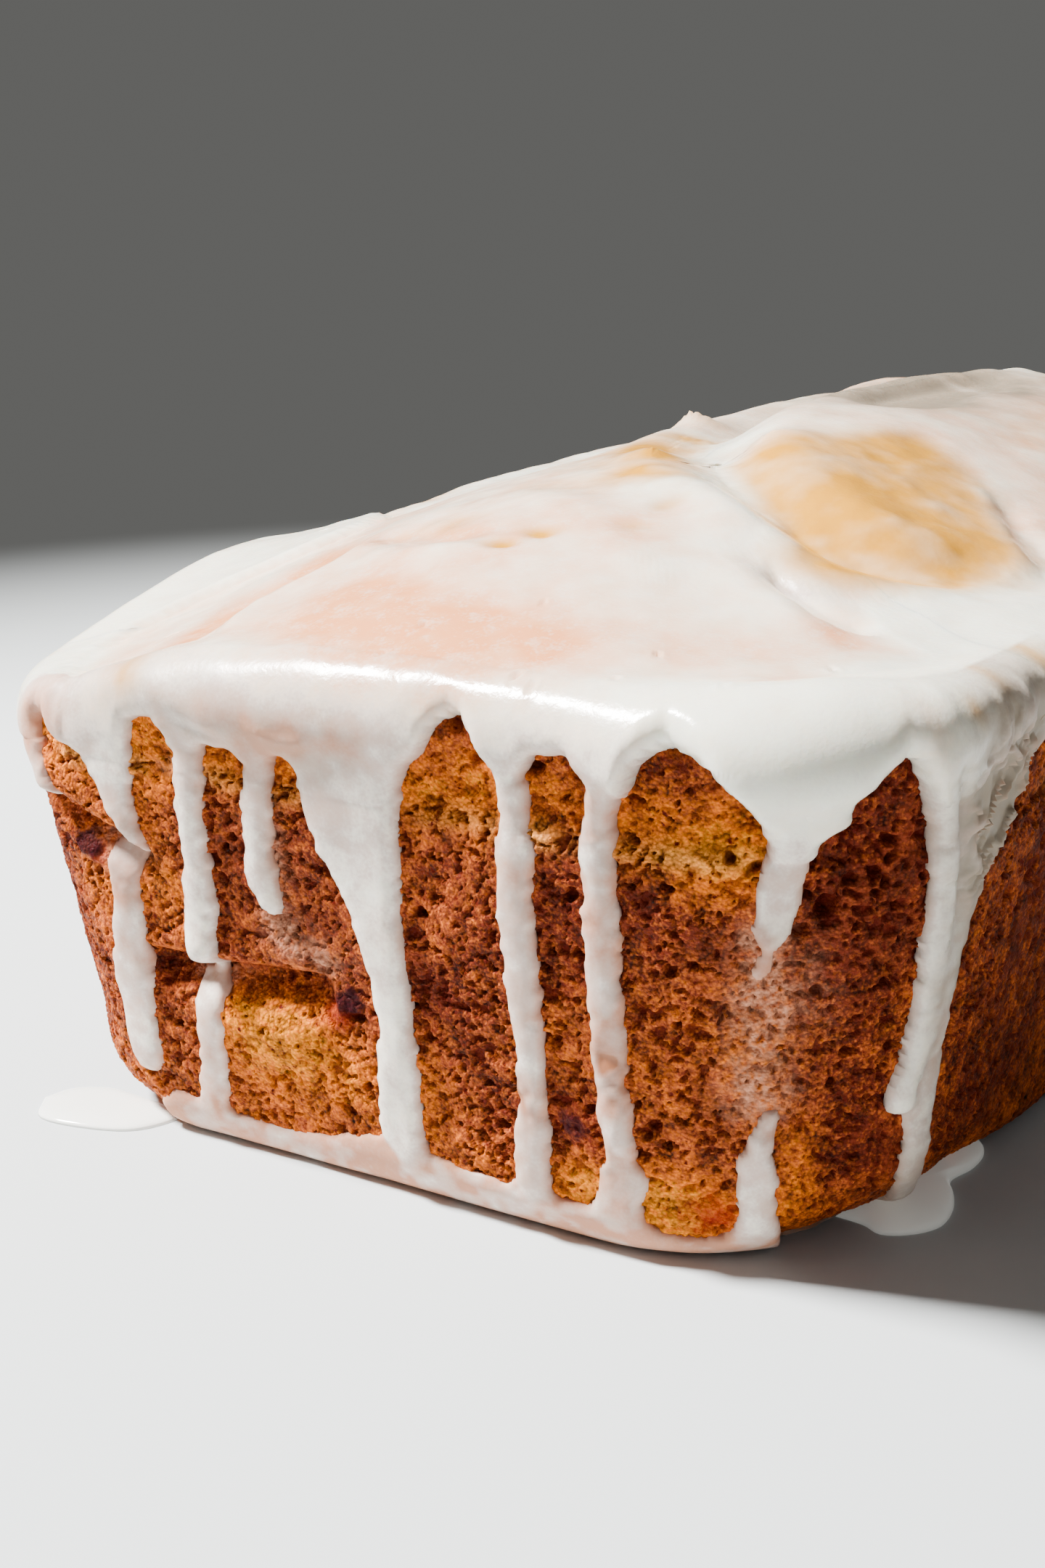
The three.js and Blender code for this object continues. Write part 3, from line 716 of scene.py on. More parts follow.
# Runs of icing on the front end: a line of s, z and half width from top to bottom, then
# thickness, and how much the crust shows through.
FRONT_RUNS = (
    (((-49, 50, 3.6), (-46.8, 46, 2.7), (-45, 43, 2), (-43.7, 40.8, 1.3)), 1.2, 0.3),
    (((-33.2, 50, 4.4), (-33, 45, 3.2), (-32.6, 42, 2.2), (-32.2, 39, 1.6),
      (-31.5, 36, 1)), 1.1, 0.35),
    (((-34.6, 34, 2.3), (-35.1, 30, 2), (-36.5, 25, 2.5), (-37.8, 20.5, 3), (-38.6, 15, 2.5),
      (-39, 10.4, 2.6), (-39, 9, 1.7)), 0.9, 0.4),
    (((-21.4, 52, 2.4), (-21.6, 47, 1.8), (-22.8, 40, 1.8), (-23.5, 35, 2), (-24.5, 29.6, 2.3),
      (-24.9, 26.5, 2.2), (-25.1, 24.4, 1.9)), 1.25, 0.3),
    (((-25.8, 20.2, 2.3), (-26.2, 16.6, 2.2), (-27.4, 12.5, 2.1), (-28.4, 9.2, 2.2),
      (-30, 4, 2.3)), 0.8, 0.6),
    (((-12.5, 51, 2.2), (-12.7, 48, 1.8), (-13.4, 43, 2), (-14.2, 38.6, 1.9), (-14.8, 35.9, 2.1),
      (-14.1, 33.2, 1.7), (-13.9, 31.9, 0.9)), 1, 0.35),
    (((-1.9, 50, 6.1), (-2, 45.6, 5.8), (-1.5, 42, 5.1), (-0.7, 37.6, 4.1), (0, 33, 3.2),
      (0.6, 26, 2.6), (1, 20.5, 2.4), (0.4, 14, 2.9), (0.1, 9.6, 3.1), (0.4, 4, 2.8)), 1.3, 0.22),
    (((16.1, 56, 2.8), (16.3, 52, 1.8), (16.8, 48.6, 1.6), (17, 44, 2), (17.2, 36, 2.1),
      (17.7, 29, 2.1), (18.3, 22.5, 1.8), (18.4, 17.6, 1.8), (18.4, 12, 2.2),
      (18.4, 4, 2.4)), 1.2, 0.48),
    (((26.4, 56, 2.7), (26.2, 52, 1.9), (25.7, 48, 1.65), (26.2, 42, 1.9), (26.6, 35, 2),
      (27.2, 28, 2.05), (27.9, 20.5, 2.05), (28.8, 16.8, 1.9), (29.4, 13.9, 1.75)), 1.2, 0.58),
    (((29.6, 11.8, 1.8), (29.9, 9.2, 3), (29.6, 7, 2.8), (29.5, 4, 3.2)), 0.7, 0.6),
    (((45, 52, 4.4), (44.3, 49.4, 2.8), (43.9, 46.4, 2.3), (43.4, 42.4, 2.2), (43, 39.4, 1.9),
      (42.8, 37.6, 1.3)), 1.05, 0.35),
    (((42.5, 35.6, 1.1), (42.2, 33.8, 0.6)), 0.35, 0.9),
    (((44.3, 18.6, 0.9), (43.5, 15.4, 1.5), (43.3, 12, 2), (43.6, 8, 2), (44.1, 4, 2.5)), 0.95, 0.4),
    (((58.4, 54.5, 1.8), (59.8, 49, 1.9), (60.5, 43, 2), (60.8, 38, 2.2), (60.5, 34, 2.2),
      (60.2, 26.4, 2.3), (58.9, 22.4, 1.7), (58.2, 20.4, 1.6), (58, 18.6, 1.85)), 1.45, 0.15),
    (((70.5, 57, 9.5), (69.3, 53.5, 8.3), (68, 50, 6.9), (65.8, 46.8, 5.4), (64.5, 43.5, 4),
      (63.7, 41, 3.1), (63.2, 38, 2.4), (62.8, 35, 2.1), (62.5, 33, 1.9), (61.9, 28, 1.5),
      (61.6, 24.5, 1.5), (61.3, 21, 1.7), (60.8, 17, 1.8), (60.4, 13.8, 1.8), (60.5, 9.8, 1.9),
      (61.1, 7, 2), (61.9, 3, 2.2)), 1.05, 0.35),
)
# The coat's lower edge on the front end: s and z.
FRONT_EDGE = (
    (-60, 41.5), (-57, 43.5), (-55, 46), (-52.5, 46.8), (-50.5, 46), (-45.5, 47.6), (-44.2, 49.3),
    (-41.5, 49.2), (-39.5, 47.4), (-37.5, 46.6), (-36, 46), (-30, 48.4), (-28.4, 50.8), (-27, 51.6),
    (-25, 51.6), (-23.6, 50.6), (-22.6, 49.4), (-19.6, 49.2), (-18.6, 49.8), (-15, 49.6), (-13.6, 48.9),
    (-11.2, 49.2), (-10.2, 49.8), (-8.2, 49.7), (-7, 48.4), (4.2, 49.6), (5.4, 51), (7, 52.4),
    (8.1, 54.4), (9.3, 56), (10.7, 56.8), (11.9, 56.5), (12.9, 55.4), (13.7, 54), (14.7, 53),
    (18, 52.8), (18.9, 54), (20.2, 54.6), (22, 54.8), (23.6, 54.5), (24.7, 53.5), (28.4, 52.2),
    (29.4, 54.7), (31, 56), (33, 56.6), (35, 56.1), (37, 54.9), (39, 53.4), (40.6, 51.6), (41.8, 49.8),
    (46.4, 49.6), (47.6, 51.8), (49.6, 53.4), (51.8, 54.8), (53.8, 55.7), (55.5, 55), (56.8, 52.4),
    (57.6, 50), (61, 50), (76, 53.6), (79, 55.6), (84, 56.6), (88, 55.4),
)
# Runs and arches on the other walls follow the solids' rule, with the same seeded draw.
OTHER_RUNS = dict(
    start=90, stop=-66, nearest=11, furthest=23, narrowest=1.5, widest=2.6, flaring=1.25,
    to_foot=0.5, lowest=9, highest=40, drift=2.5, seed=11,
)
# The points and heights of such a run's line, how far it wanders, and its mouth and end.
RUN_SHAPE = dict(points=9, top=51, foot=3.5, wander=0.5, mouth=1.6, bead=0.15, thickness=1.2)
# The arches between runs, and how the coat's edge keeps below a low rim.
RUN_FOOT, ARCH_RISE, ARCH_REACH, COAT_LIP, EDGE_DIP = 47.0, 10.0, 16.0, 2.0, 3.0
ARCH_POINTS, ARCH_LEAST = 9, 0.35
FOOT_BAND_TOP = 5.8
# How far along the walk a run can reach, how softly it joins the coat, and its end's bulge.
RUN_REACH, RUN_SHARE, RUN_BLEND, RUN_BULGE = 24, 3.2, 1.5, 0.45
# The upper edge of the icing along the foot of the front end: s and z.
FOOT_BAND = (
    (-41, 1), (-39, 4), (-36, 5.4), (-32, 5), (-27, 4.7), (-23, 4.1), (-19, 3.9), (-14, 4.4), (-9, 5.6),
    (-5, 6.4), (4, 6.6), (8, 5.8), (15, 5.4), (21, 5.4), (27, 5.2), (31.5, 4.9), (36, 3.4), (39, 3),
    (42, 4.2), (46.4, 3.8), (48.2, 0.8), (62, 0.6), (66, 0),
)
# How softly it joins the rest, its thickness and how much the crust shows through it.
BAND_BLEND, BAND_THICKNESS, BAND_SHOWN = 1.6, 0.7, 0.88
# Off the front end, how the icing along the foot pools round a run and where it ends.
FOOT_POOL = dict(below=1.2, bend=0.02, drop=4, ends=(7, 13))
# The coat's usual thickness and show-through; its edge is rounded over a width, and its inner
# face lies inside the crust by a depth.
COAT_THICKNESS, COAT_SHOWN, EDGE_WIDTH, INNER_DEPTH = 1.9, 0.12, 2.0, 0.45
# The icing stays above a height, and no place lies closer to its outline than the least field.
LOWEST_ICING, LEAST_FIELD = 0.12, 0.02


def make_draw(seed):
    """Seeded draw between 0 and 1, the same as the solids use."""
    state = seed

    def draw():
        nonlocal state
        state = (state + 0x6D2B79F5) % WORDS
        mixed = (state ^ (state >> 15)) * (1 | state) % WORDS
        mixed = (mixed + (mixed ^ (mixed >> 7)) * (61 | mixed)) % WORDS ^ mixed
        return (mixed ^ (mixed >> 14)) / WORDS

    return draw


def other_runs():
    """Top, foot, half widths and end of each run that isn't on the front end."""
    rule = OTHER_RUNS
    draw = make_draw(rule["seed"])

    def between(low, high):
        return low + (high - low) * draw()

    runs = []
    s = rule["start"]
    while s < PERIMETER + rule["stop"]:
        narrow = between(rule["narrowest"], rule["widest"])
        reaches_foot = draw() < rule["to_foot"]
        end = between(rule["lowest"], rule["highest"])
        foot = s + between(-rule["drift"], rule["drift"])
        runs.append((s, foot, narrow * rule["flaring"], narrow, FOOT_BAND_TOP if reaches_foot else end))
        s += between(rule["nearest"], rule["furthest"])
    return runs


def run_line(index, top, foot, wide, narrow, end):
    """A run off the front end as a line of s, z and half width from top to bottom."""
    low = RUN_SHAPE["foot"] if end <= FOOT_BAND_TOP else end + narrow
    line = []
    for step, share in enumerate(np.linspace(0, 1, RUN_SHAPE["points"])):
        wander = RUN_SHAPE["wander"] * math.sin(2.4 * step + 1.9 * index)
        half = narrow + (RUN_SHAPE["mouth"] * wide - narrow) * (1 - share) ** 5
        half *= 1 + 0.16 * math.sin(1.7 * step + 2.3 * index) + RUN_SHAPE["bead"] * (share > 0.95)
        z = RUN_SHAPE["top"] + (low - RUN_SHAPE["top"]) * share
        line.append((top + (foot - top) * share + wander, z, half))
    return np.array(line)


def run_lines():
    """Every run as a line of s, z and half width, with its thickness and show-through."""
    lines = [(np.array(line, float), thickness, shown) for line, thickness, shown in FRONT_RUNS]
    for index, run in enumerate(other_runs()):
        lines.append((run_line(index, *run), RUN_SHAPE["thickness"], 0.26 + 0.1 * (index % 3)))
    return lines


RUN_LINES = run_lines()


def arches():
    """The coat's lower edge between the runs off the front end, as places s and z."""
    stops = [(FRONT_EDGE[-1][0], 0.0)] + [(run[0], run[2]) for run in other_runs()]
    stops.append((PERIMETER + FRONT_EDGE[0][0], 0.0))
    shares = np.linspace(0, 1, ARCH_POINTS)
    edge_s, edge_z = [], []
    for (top, wide), (next_top, next_wide) in zip(stops, stops[1:]):
        low, high = top + wide, next_top - next_wide
        rise = ARCH_RISE * np.clip((high - low) / ARCH_REACH, ARCH_LEAST, 1)
        edge_s.append(low + (high - low) * shares)
        edge_z.append(RUN_FOOT + rise * (1 - (2 * shares - 1) ** 2))
    edge_s, edge_z = np.concatenate(edge_s), np.concatenate(edge_z)
    rim = rim_near(edge_s)
    dip = clamp((RIM_HEIGHT - rim) / RIM_DIPS[0][2])
    return edge_s, np.minimum(edge_z, rim - COAT_LIP) - EDGE_DIP * dip


def coat_edge(s):
    """Height of the coat's lower edge: as measured on the front end, arches elsewhere."""
    front = np.array(FRONT_EDGE, float)
    edge_s, edge_z = arches()
    all_s = np.concatenate([front[:, 0], edge_s])
    all_z = np.concatenate([front[:, 1], edge_z])
    return np.interp(np.mod(s - front[0, 0], PERIMETER) + front[0, 0], all_s, all_z)


def run_field(s, z, line):
    """How far inside a run each place is, in mm; outside is negative."""
    best = np.full(s.shape, -FAR)
    for (s0, z0, half0), (s1, z1, half1) in zip(line, line[1:]):
        off_s, off_z = walk_between(s0, s), z - z0
        step_s, step_z = s1 - s0, z1 - z0
        share = clamp((off_s * step_s + off_z * step_z) / (step_s**2 + step_z**2))
        distance = np.hypot(off_s - share * step_s, off_z - share * step_z)
        best = np.maximum(best, half0 + (half1 - half0) * share - distance)
    return best


# Where the crust shows through the runs: s, z, spread along, spread up, and how much.
BARE = (
    (17.2, 17.2, 1, 1.5, 0.7), (18.6, 14.6, 0.8, 1, 0.4), (27.4, 22.8, 1.9, 1.7, 0.85),
    (28.6, 19.6, 0.9, 0.9, 0.5), (42.6, 38.4, 1.5, 1.8, 0.4), (-31.8, 37.4, 1.2, 1.5, 0.6),
    (-35, 31.5, 1.8, 2.2, 0.45), (-24.8, 21.5, 2, 1, 0.5), (29.8, 9.4, 2.6, 1.4, 0.3),
    (44.2, 17, 1, 1.4, 0.4), (-12.2, 37, 0.8, 3.2, 0.5), (60.9, 26, 0.8, 4, 0.35),
    (-2.4, 22, 0.5, 4, 0.3), (120, 20, 2, 2, 0.5), (196, 28, 2, 3, 0.5), (283, 15, 2, 2, 0.6),
    (366, 30, 2, 3, 0.5), (441, 16, 2, 2, 0.5),
)


def foot_edge(s):
    """Height of the icing along the foot: measured on the front end, round each run elsewhere."""
    front = np.array(FOOT_BAND, float)
    edge = np.interp(walk_between(0, s), front[:, 0], front[:, 1], left=-9, right=-9)
    for line, _, _ in RUN_LINES[len(FRONT_RUNS):]:
        if line[-1, 1] < FOOT_BAND_TOP:
            reach = np.abs(walk_between(line[-1, 0], s))
            pool = FOOT_BAND_TOP - FOOT_POOL["below"] - FOOT_POOL["bend"] * reach**2
            pool = pool - FOOT_POOL["drop"] * smooth_step(*FOOT_POOL["ends"], reach)
            edge = np.maximum(edge, pool)
    return edge


def add_run(field, thickness, shown, rough, s, z, run):
    """Joins one run to the coat's field, thickness and show-through, in place."""
    line, run_thickness, run_shown = run
    part = (slice(None), np.abs(walk_between(float(line[:, 0].mean()), s[0])) < RUN_REACH)
    inside = run_field(s[part], z[part], line) + rough[part]
    share = smooth_step(-RUN_SHARE, RUN_SHARE, inside - field[part])
    end_s, end_z, end_half = line[-1]
    blob = gauss(np.hypot(walk_between(end_s, s[part]), z[part] - end_z), end_half)
    bulge = RUN_BULGE * blob * (end_z > FOOT_BAND_TOP) * (run_thickness > 1)
    field[part] = smooth_max(field[part], inside, RUN_BLEND)
    thickness[part] += (run_thickness + bulge - thickness[part]) * share
    shown[part] += (run_shown - shown[part]) * share


def wall_icing(points, s, z):
    """Distance inside the icing's outline on the wall, its thickness, and show-through."""
    rough = 0.24 * noise(points, 2.6, 91) + 0.34 * noise(points, 1.15, 92) + 0.12 * noise(points, 0.7, 94)
    field = z - coat_edge(s) + 0.6 * rough
    thickness = np.full(s.shape, COAT_THICKNESS - 0.3)
    shown = np.full(s.shape, COAT_SHOWN)
    for run in RUN_LINES:
        add_run(field, thickness, shown, rough, s, z, run)
    band = foot_edge(s) - z + 0.7 * rough
    share = clamp(0.5 + 0.5 * (band - field) / BAND_BLEND)
    field = smooth_max(field, band, BAND_BLEND)
    thickness = thickness + (BAND_THICKNESS - thickness) * share
    veil = BAND_SHOWN + 0.45 * noise(points, 3.6, 95) + 0.25 * noise(points, 1.2, 96)
    shown = shown + (veil - shown) * share
    field = np.minimum(field, 1.5 * (z - LOWEST_ICING))
    return np.where(np.abs(field) < LEAST_FIELD, LEAST_FIELD, field), thickness, shown


# --- Icing shell --------------------------------------------------------------------

# Wrinkles of the top: a route of x and y, half width in mm, and height; negative is a groove.
TOP_LINES = (
    (((-19.6, -104), (-22.7, -99), (-23.6, -92), (-21, -85), (-20.5, -78), (-23, -70)), 2, 0.9),
    (((-28, -103), (-30, -97), (-30, -88), (-27, -80), (-28, -71)), 3, -0.5),
    (((-24, -72.5), (-17, -75.5), (-10, -79), (-3, -78.5)), 2.2, -0.6),
    (((-21, -77), (-12, -82.5), (-3, -83), (6, -80)), 3, 0.5),
    (((-9, -17), (-1, -34), (7, -49), (16, -61), (24, -75)), 4, 0.9),
    (((21, -72), (27, -77), (34, -80), (42, -82)), 3.2, 0.8),
    (((25.6, -69.6), (29.4, -73.2), (34.5, -75.8), (38, -77), (42, -78)), 1.7, -1.5),
    (((31, -19.6), (37, -28), (42.5, -35), (46, -43)), 2.2, -1),
    (((-14, -60), (-2, -67), (9, -75), (20, -83)), 3.4, 0.4),
    (((38, -73), (45, -67), (50, -58), (50, -46)), 4, 0.7),
    (((-11, -4), (-14, 12), (-16, 30), (-13, 62)), 2.6, 1.8),
    (((-6, -2), (-9.5, 14), (-11, 32), (-8, 60)), 3, -1.4),
    (((1, -6), (-1, 12), (-1.5, 30), (0, 58)), 2.6, 0.8),
    (((6.6, -8), (5.4, 12), (5, 30), (6.8, 56)), 4.2, -1.4),
    (((2, 84), (-6, 70), (-18, 60), (-30, 46)), 3.2, 0.7),
    (((36, 10), (30, 34), (20, 56), (22, 76)), 3.4, -0.8),
    (((-40, 4), (-30, 22), (-28, 44)), 3.2, 0.7),
    (((10, 94), (16, 74), (8, 50), (10, 30)), 3, 0.7),
    (((-44, 84), (-30, 78), (-16, 86)), 3, -0.6),
)
LINE_POINTS, LINE_TAPER, LINE_SPREAD = 60, 4.4, 0.7
# Closed outlines of the golden mound and of the thick white band along the left rim.
OUTLINE_POINTS = 120
MOUND_OUTLINE = (
    (4.6, -41.4), (10, -49.6), (15, -55.4), (19.4, -62), (25, -69.4), (33, -71.8), (40, -66), (44, -59),
    (46.5, -48), (44, -37), (37.2, -28.2), (31.1, -19.6), (23.6, -13.6), (16.9, -13), (11.5, -22),
    (7.5, -33),
)
BAND_OUTLINE = (
    (-37, -113), (-42, -104), (-47.5, -96.5), (-48.6, -90), (-46.4, -82), (-41.6, -74.5), (-36.3, -69),
    (-34, -62), (-37.5, -50), (-46, -38), (-57, -28), (-68, -34), (-68, -113),
)
# Peaks of crust under the icing: x, y, radius, height.
PEAK_SHARPNESS = 1.2
PEAKS = (
    (-18, -6.5, 2.2, 2.2), (-9, -21.5, 2.3, 1), (-1.6, -47, 2.6, 1.3), (1.4, -54, 2.4, 0.7),
    (8.6, -34, 2, 0.8), (-13, 24, 2.8, 1), (-15, 50, 2.6, 1), (11, 66, 2.6, 0.9), (24, 30, 2.4, 0.7),
)
# Ridges and grooves of the icing on the front wall: a route of s and z, half width, and height.
FAN_LINES = (
    (((58.8, 57), (59.8, 53), (61.4, 48.5), (62.2, 43), (62.5, 38), (62.2, 33)), 0.8, -0.9),
    (((65.4, 58), (65.4, 54), (65.2, 50), (64.8, 46)), 0.8, 0.5),
    (((68, 58), (67.6, 54), (66.8, 50.5)), 0.7, -0.45),
    (((71, 58), (70.4, 54.5), (69, 51.5)), 0.8, 0.5),
    (((74, 58), (73, 55), (72, 52)), 0.7, -0.4),
    (((77, 58), (76, 55)), 0.8, 0.4),
    (((-33, 52.4), (-27, 54.4), (-20, 54), (-13, 51.6)), 0.8, 0.4),
    (((-27, 52.2), (-21, 52.8), (-15, 50.8)), 0.7, -0.4),
    (((-12, 53.8), (-8, 52.4), (-4, 52.8)), 0.8, 0.35),
)
# Burst bubbles in the icing: x, y, radius; their floor and lip are parts of the radius.
BUBBLE = dict(depth=0.6, floor=0.3, lip_radius=1.35, lip_width=0.4, lip_rise=0.12)
BUBBLES = (
    (1.6, -105.4, 0.5), (2.6, -99.8, 0.5), (18, -106, 0.5), (20.4, -106.6, 0.4), (28, -97, 0.55),
    (28, -104.6, 0.5), (-15, -98, 0.4), (39, -104, 0.5), (12, -92, 0.4), (-38, -92, 0.5),
    (44, -92, 0.5), (-4, -88, 0.45), (33, -60, 0.5), (-40, -60, 0.5), (10, 30, 0.6), (-20, 60, 0.6),
    (30, 80, 0.5), (-44, 10, 0.5), (-8, 96, 0.5), (46, -20, 0.5),
)
# Where the icing on the top is thinner than its usual: x, y, spread across, along, amount.
THIN = (
    (-7, -94, 8, 6, 0.45), (5.5, -101, 8, 4, 0.65), (-10, -102.5, 5, 3, 0.3), (20, -100, 7, 5, 0.35),
    (11, -73, 8, 4, 0.4), (41, -82, 5, 3.5, 0.6), (41, -99, 6, 3, 0.3), (-32, -97, 3.5, 8, 0.55),
    (-28, -82, 3, 7, 0.5), (-44, -98, 3, 5, 0.3), (30, -90, 6, 5, 0.1), (-14, -76, 6, 3, 0.35),
    (-36, -20, 9, 20, 0.2), (30, 40, 10, 16, 0.4), (-24, 70, 10, 10, 0.4), (14, 90, 12, 7, 0.3),
    (-42, 50, 6, 20, 0.3), (44, 0, 5, 20, 0.2), (45, 70, 8, 16, 0.3),
)
# Where it pooled thick and white, in the same terms; the spot at the left corner of the front rim also
# whitens it against the shade there, which is painted light.
WHITE = (
    (-8, -20, 4, 7, 0.4), (0, -34, 4, 8, 0.5), (9, -52, 4.5, 7, 0.5), (20, -68, 6, 7, 0.4),
    (31, -84, 8, 4, 0.35), (46, -66, 8, 8, 0.7), (50, -50, 6, 12, 0.5), (50, -88, 5, 14, 0.6),
    (33, -104, 12, 5, 0.4), (-15, -105, 6, 4, 0.3), (-50, 0, 5, 26, 0.5), (-50, 66, 6, 14, 0.5),
    (51, 24, 5, 20, 0.5), (-51, -104, 7, 9, 0.7), (48, -104, 8, 5, 0.4), (20, 100, 18, 5, 0.5),
    (-20, 28, 8, 8, 0.3), (2, 74, 6, 14, 0.4),
)
# Where it is so thin that the crust under it shows golden.
GOLD = (
    (12.3, -48, 2.4, 3.4, 0.55), (9.5, -36, 2.6, 6, 0.35), (-1.6, -47, 4, 4, 0.6),
    (1.4, -55, 3.4, 2.6, 0.6), (6, -57, 3, 2, 0.4), (-9, -22, 2.6, 3, 0.6), (-8, -40, 5, 8, 0.35),
    (2.1, -76.7, 1.5, 1.1, 0.9), (-1.1, -81, 1.4, 1, 0.7), (10.6, -71.5, 1.6, 1.2, 0.55),
    (10.4, -63.5, 1.2, 1.8, 0.55), (-13.5, -73, 3, 2.2, 0.4), (57, -72, 1.6, 2, 0.3),
    (58, -88, 1.4, 2, 0.3), (57, -58, 2, 3, 0.35), (58, -30, 2, 6, 0.5), (57, 6, 2, 7, 0.6),
    (57, 48, 2.4, 8, 0.6), (54, 92, 4, 5, 0.5), (-57, -10, 2, 9, 0.5), (-57, 52, 2.2, 9, 0.6),
    (-14, 24, 4, 10, 0.45), (-14, 52, 4, 10, 0.4), (11, 64, 6, 7, 0.55), (-28, 92, 8, 5, 0.45),
    (27, 22, 6, 10, 0.5), (1, 14, 4, 14, 0.12), (-30, -8, 6, 8, 0.25), (36, 66, 6, 9, 0.4),
    (-18, -6.5, 2.4, 3, 0.6), (-1, 38, 3, 6, 0.15), (-11, -32, 5, 8, 0.45), (-4, -60, 5, 3, 0.3),
    (-6.7, -38.5, 3, 3, 0.4), (-11, -22, 2.4, 3.4, 0.45), (0, 43, 4, 6, 0.4), (9, 9, 3, 4, 0.35),
)
# Its usual thinness, the gold of the mound, how far the band and the mound stand up, and how
# much lower it lies where it is thin or golden.
TOP = dict(thin=0.46, mound_gold=0.94, band_rise=0.75, mound_rise=0.9, thin_depth=0.5, gold_depth=0.6)
# Steep sides of the crack where the icing is sheer, with painted shade on the sides that face away from
# the light and at the end of the groove by the mound.
SHEER_AND_SHADE = (
    (-8.6, 10, 3, 12, 0.3), (-10, 34, 3, 12, 0.3), (-7, 58, 3, 9, 0.3), (30, -73, 3, 1.5, 0.35),
    (1.4, 16, 3, 12, 0.14), (1.6, 42, 3, 12, 0.14), (-19, -2, 4, 14, 0.2),
)
# Painted shade that greys the icing, in the same terms: on the far side of the crack and in the crease by
# the mound, partly thin icing over the dark crust.
PAINTED_SHADE_SPOTS = (
    (2, 4, 8, 12, 0.66), (4, 24, 9, 14, 0.85), (5, 48, 9, 12, 0.75), (-12, 30, 6, 26, 0.75),
    (42, -28, 5, 10, 0.16),
)


def line_relief(x, y, lines, wobble):
    """Ridges and grooves along smooth lines, tapering at their ends."""
    total = 0.0
    for route, half_width, height in lines:
        distance, share = distance_to(spline(route, LINE_POINTS), x, y)
        taper = clamp(LINE_TAPER * share) * clamp(LINE_TAPER * (1 - share))
        total = total + height * taper * gauss(distance + wobble, LINE_SPREAD * half_width)
    return total


def spots(x, y, table):
    """Soft spots of the top, summed: x, y, spread across, spread along, and how much."""
    return sum(
        amount * gauss(x - spot_x, across) * gauss(y - spot_y, along)
        for spot_x, spot_y, across, along, amount in table
    )


def inside_of(outline, x, y):
    """Distance to a closed smooth outline in mm, positive inside it."""
    curve = spline((*outline, outline[0]), OUTLINE_POINTS)
    distance, _ = distance_to(curve, x, y)
    crossed = np.zeros(distance.shape, bool)
    for (x0, y0), (x1, y1) in zip(curve, curve[1:]):
        if y0 != y1:
            beside = x < x0 + (y - y0) * (x1 - x0) / (y1 - y0)
            crossed ^= ((y0 > y) != (y1 > y)) & beside
    return np.where(crossed, distance, -distance)


def peaks_and_bubbles(lift, x, y):
    """The icing's lift with the peaks of crust under it and the bubbles burst in it."""
    for peak_x, peak_y, radius, height in PEAKS:
        distance = np.hypot(x - peak_x, y - peak_y)
        lift = lift + height * np.exp(-distance / radius * PEAK_SHARPNESS)
    for bubble_x, bubble_y, radius in BUBBLES:
        distance = np.hypot(x - bubble_x, y - bubble_y)
        lift = lift - BUBBLE["depth"] * smooth_step(radius, BUBBLE["floor"] * radius, distance)
        from_lip = distance - BUBBLE["lip_radius"] * radius
        lift = lift + BUBBLE["lip_rise"] * gauss(from_lip, BUBBLE["lip_width"] * radius)
    return np.maximum(lift, LEAST_LIFT)


def top_icing(points):
    """Lift of the icing over the crust on the top, and the values that colour it."""
    x, y = points[..., 0], points[..., 1]
    wobble = 0.8 * noise(points, 5, 101)
    blotch = 0.7 * layered_noise(points, 6, 109)
    mound = inside_of(MOUND_OUTLINE, x + wobble, y + 0.8 * wobble)
    band = inside_of(BAND_OUTLINE, x + 0.6 * wobble, y)
    in_mound, in_band = smooth_step(-1.5, 6, mound), smooth_step(-0.2, 1.8, band)
    in_front = smooth_step(-20, -44, y - 0.35 * x)

    thin = TOP["thin"] + 1.25 * spots(x + 2.2 * wobble, y, THIN)
    thin = thin - spots(x, y + wobble, WHITE) + 0.3 * blotch
    gold = spots(x + 1.6 * wobble, y, GOLD) * (1 + 0.8 * blotch)
    gold = np.maximum(gold, in_mound * (TOP["mound_gold"] + 0.3 * blotch))
    # Painted shade: more sheer on the crack's steep sides where they face away from the light.
    sheer_and_shade = spots(x + wobble, y, SHEER_AND_SHADE) * (1 + 0.5 * blotch)
    # Painted shade: greys the far side of the crack and the crease by the mound, partly thin icing over
    # the dark crust.
    painted_shade = spots(x + wobble, y, PAINTED_SHADE_SPOTS) * (1 + 0.6 * blotch)
    thin, gold = thin * (1 - 0.85 * in_band), gold * (1 - in_band)

    lift = COAT_THICKNESS + line_relief(x, y, TOP_LINES, wobble)
    lift = lift + 0.35 * layered_noise(points, 15, 103, 2) + 0.08 * noise(points, 3.2, 107)
    lift = lift + TOP["band_rise"] * in_band
    lift = lift + TOP["mound_rise"] * smooth_step(-1.5, 4, mound) * in_front
    lift = lift - TOP["thin_depth"] * clamp(thin) - TOP["gold_depth"] * clamp(gold)
    lift = lift + 0.14 * in_mound * layered_noise(points, 4.2, 118, 2)
    bare = np.zeros(x.shape)
    return peaks_and_bubbles(lift, x, y), stack(thin, gold, sheer_and_shade, bare, painted_shade)


# Each piece of the icing: start and end on the walk, steps along it, height of its rows on the
# wall, and its rings on the top.
ICING_PIECES = (
    ("icing_front", -62.0, 76.0, 344, 0.42, 88),
    ("icing_right", 76.0, PERIMETER / 2, 320, 0.7, 96),
    ("icing_left", PERIMETER / 2, PERIMETER - 62.0, 336, 0.7, 96),
)
ICING_ATTRIBUTES = ("thin", "gold", "sheer_and_shade", "bare", "painted_shade")
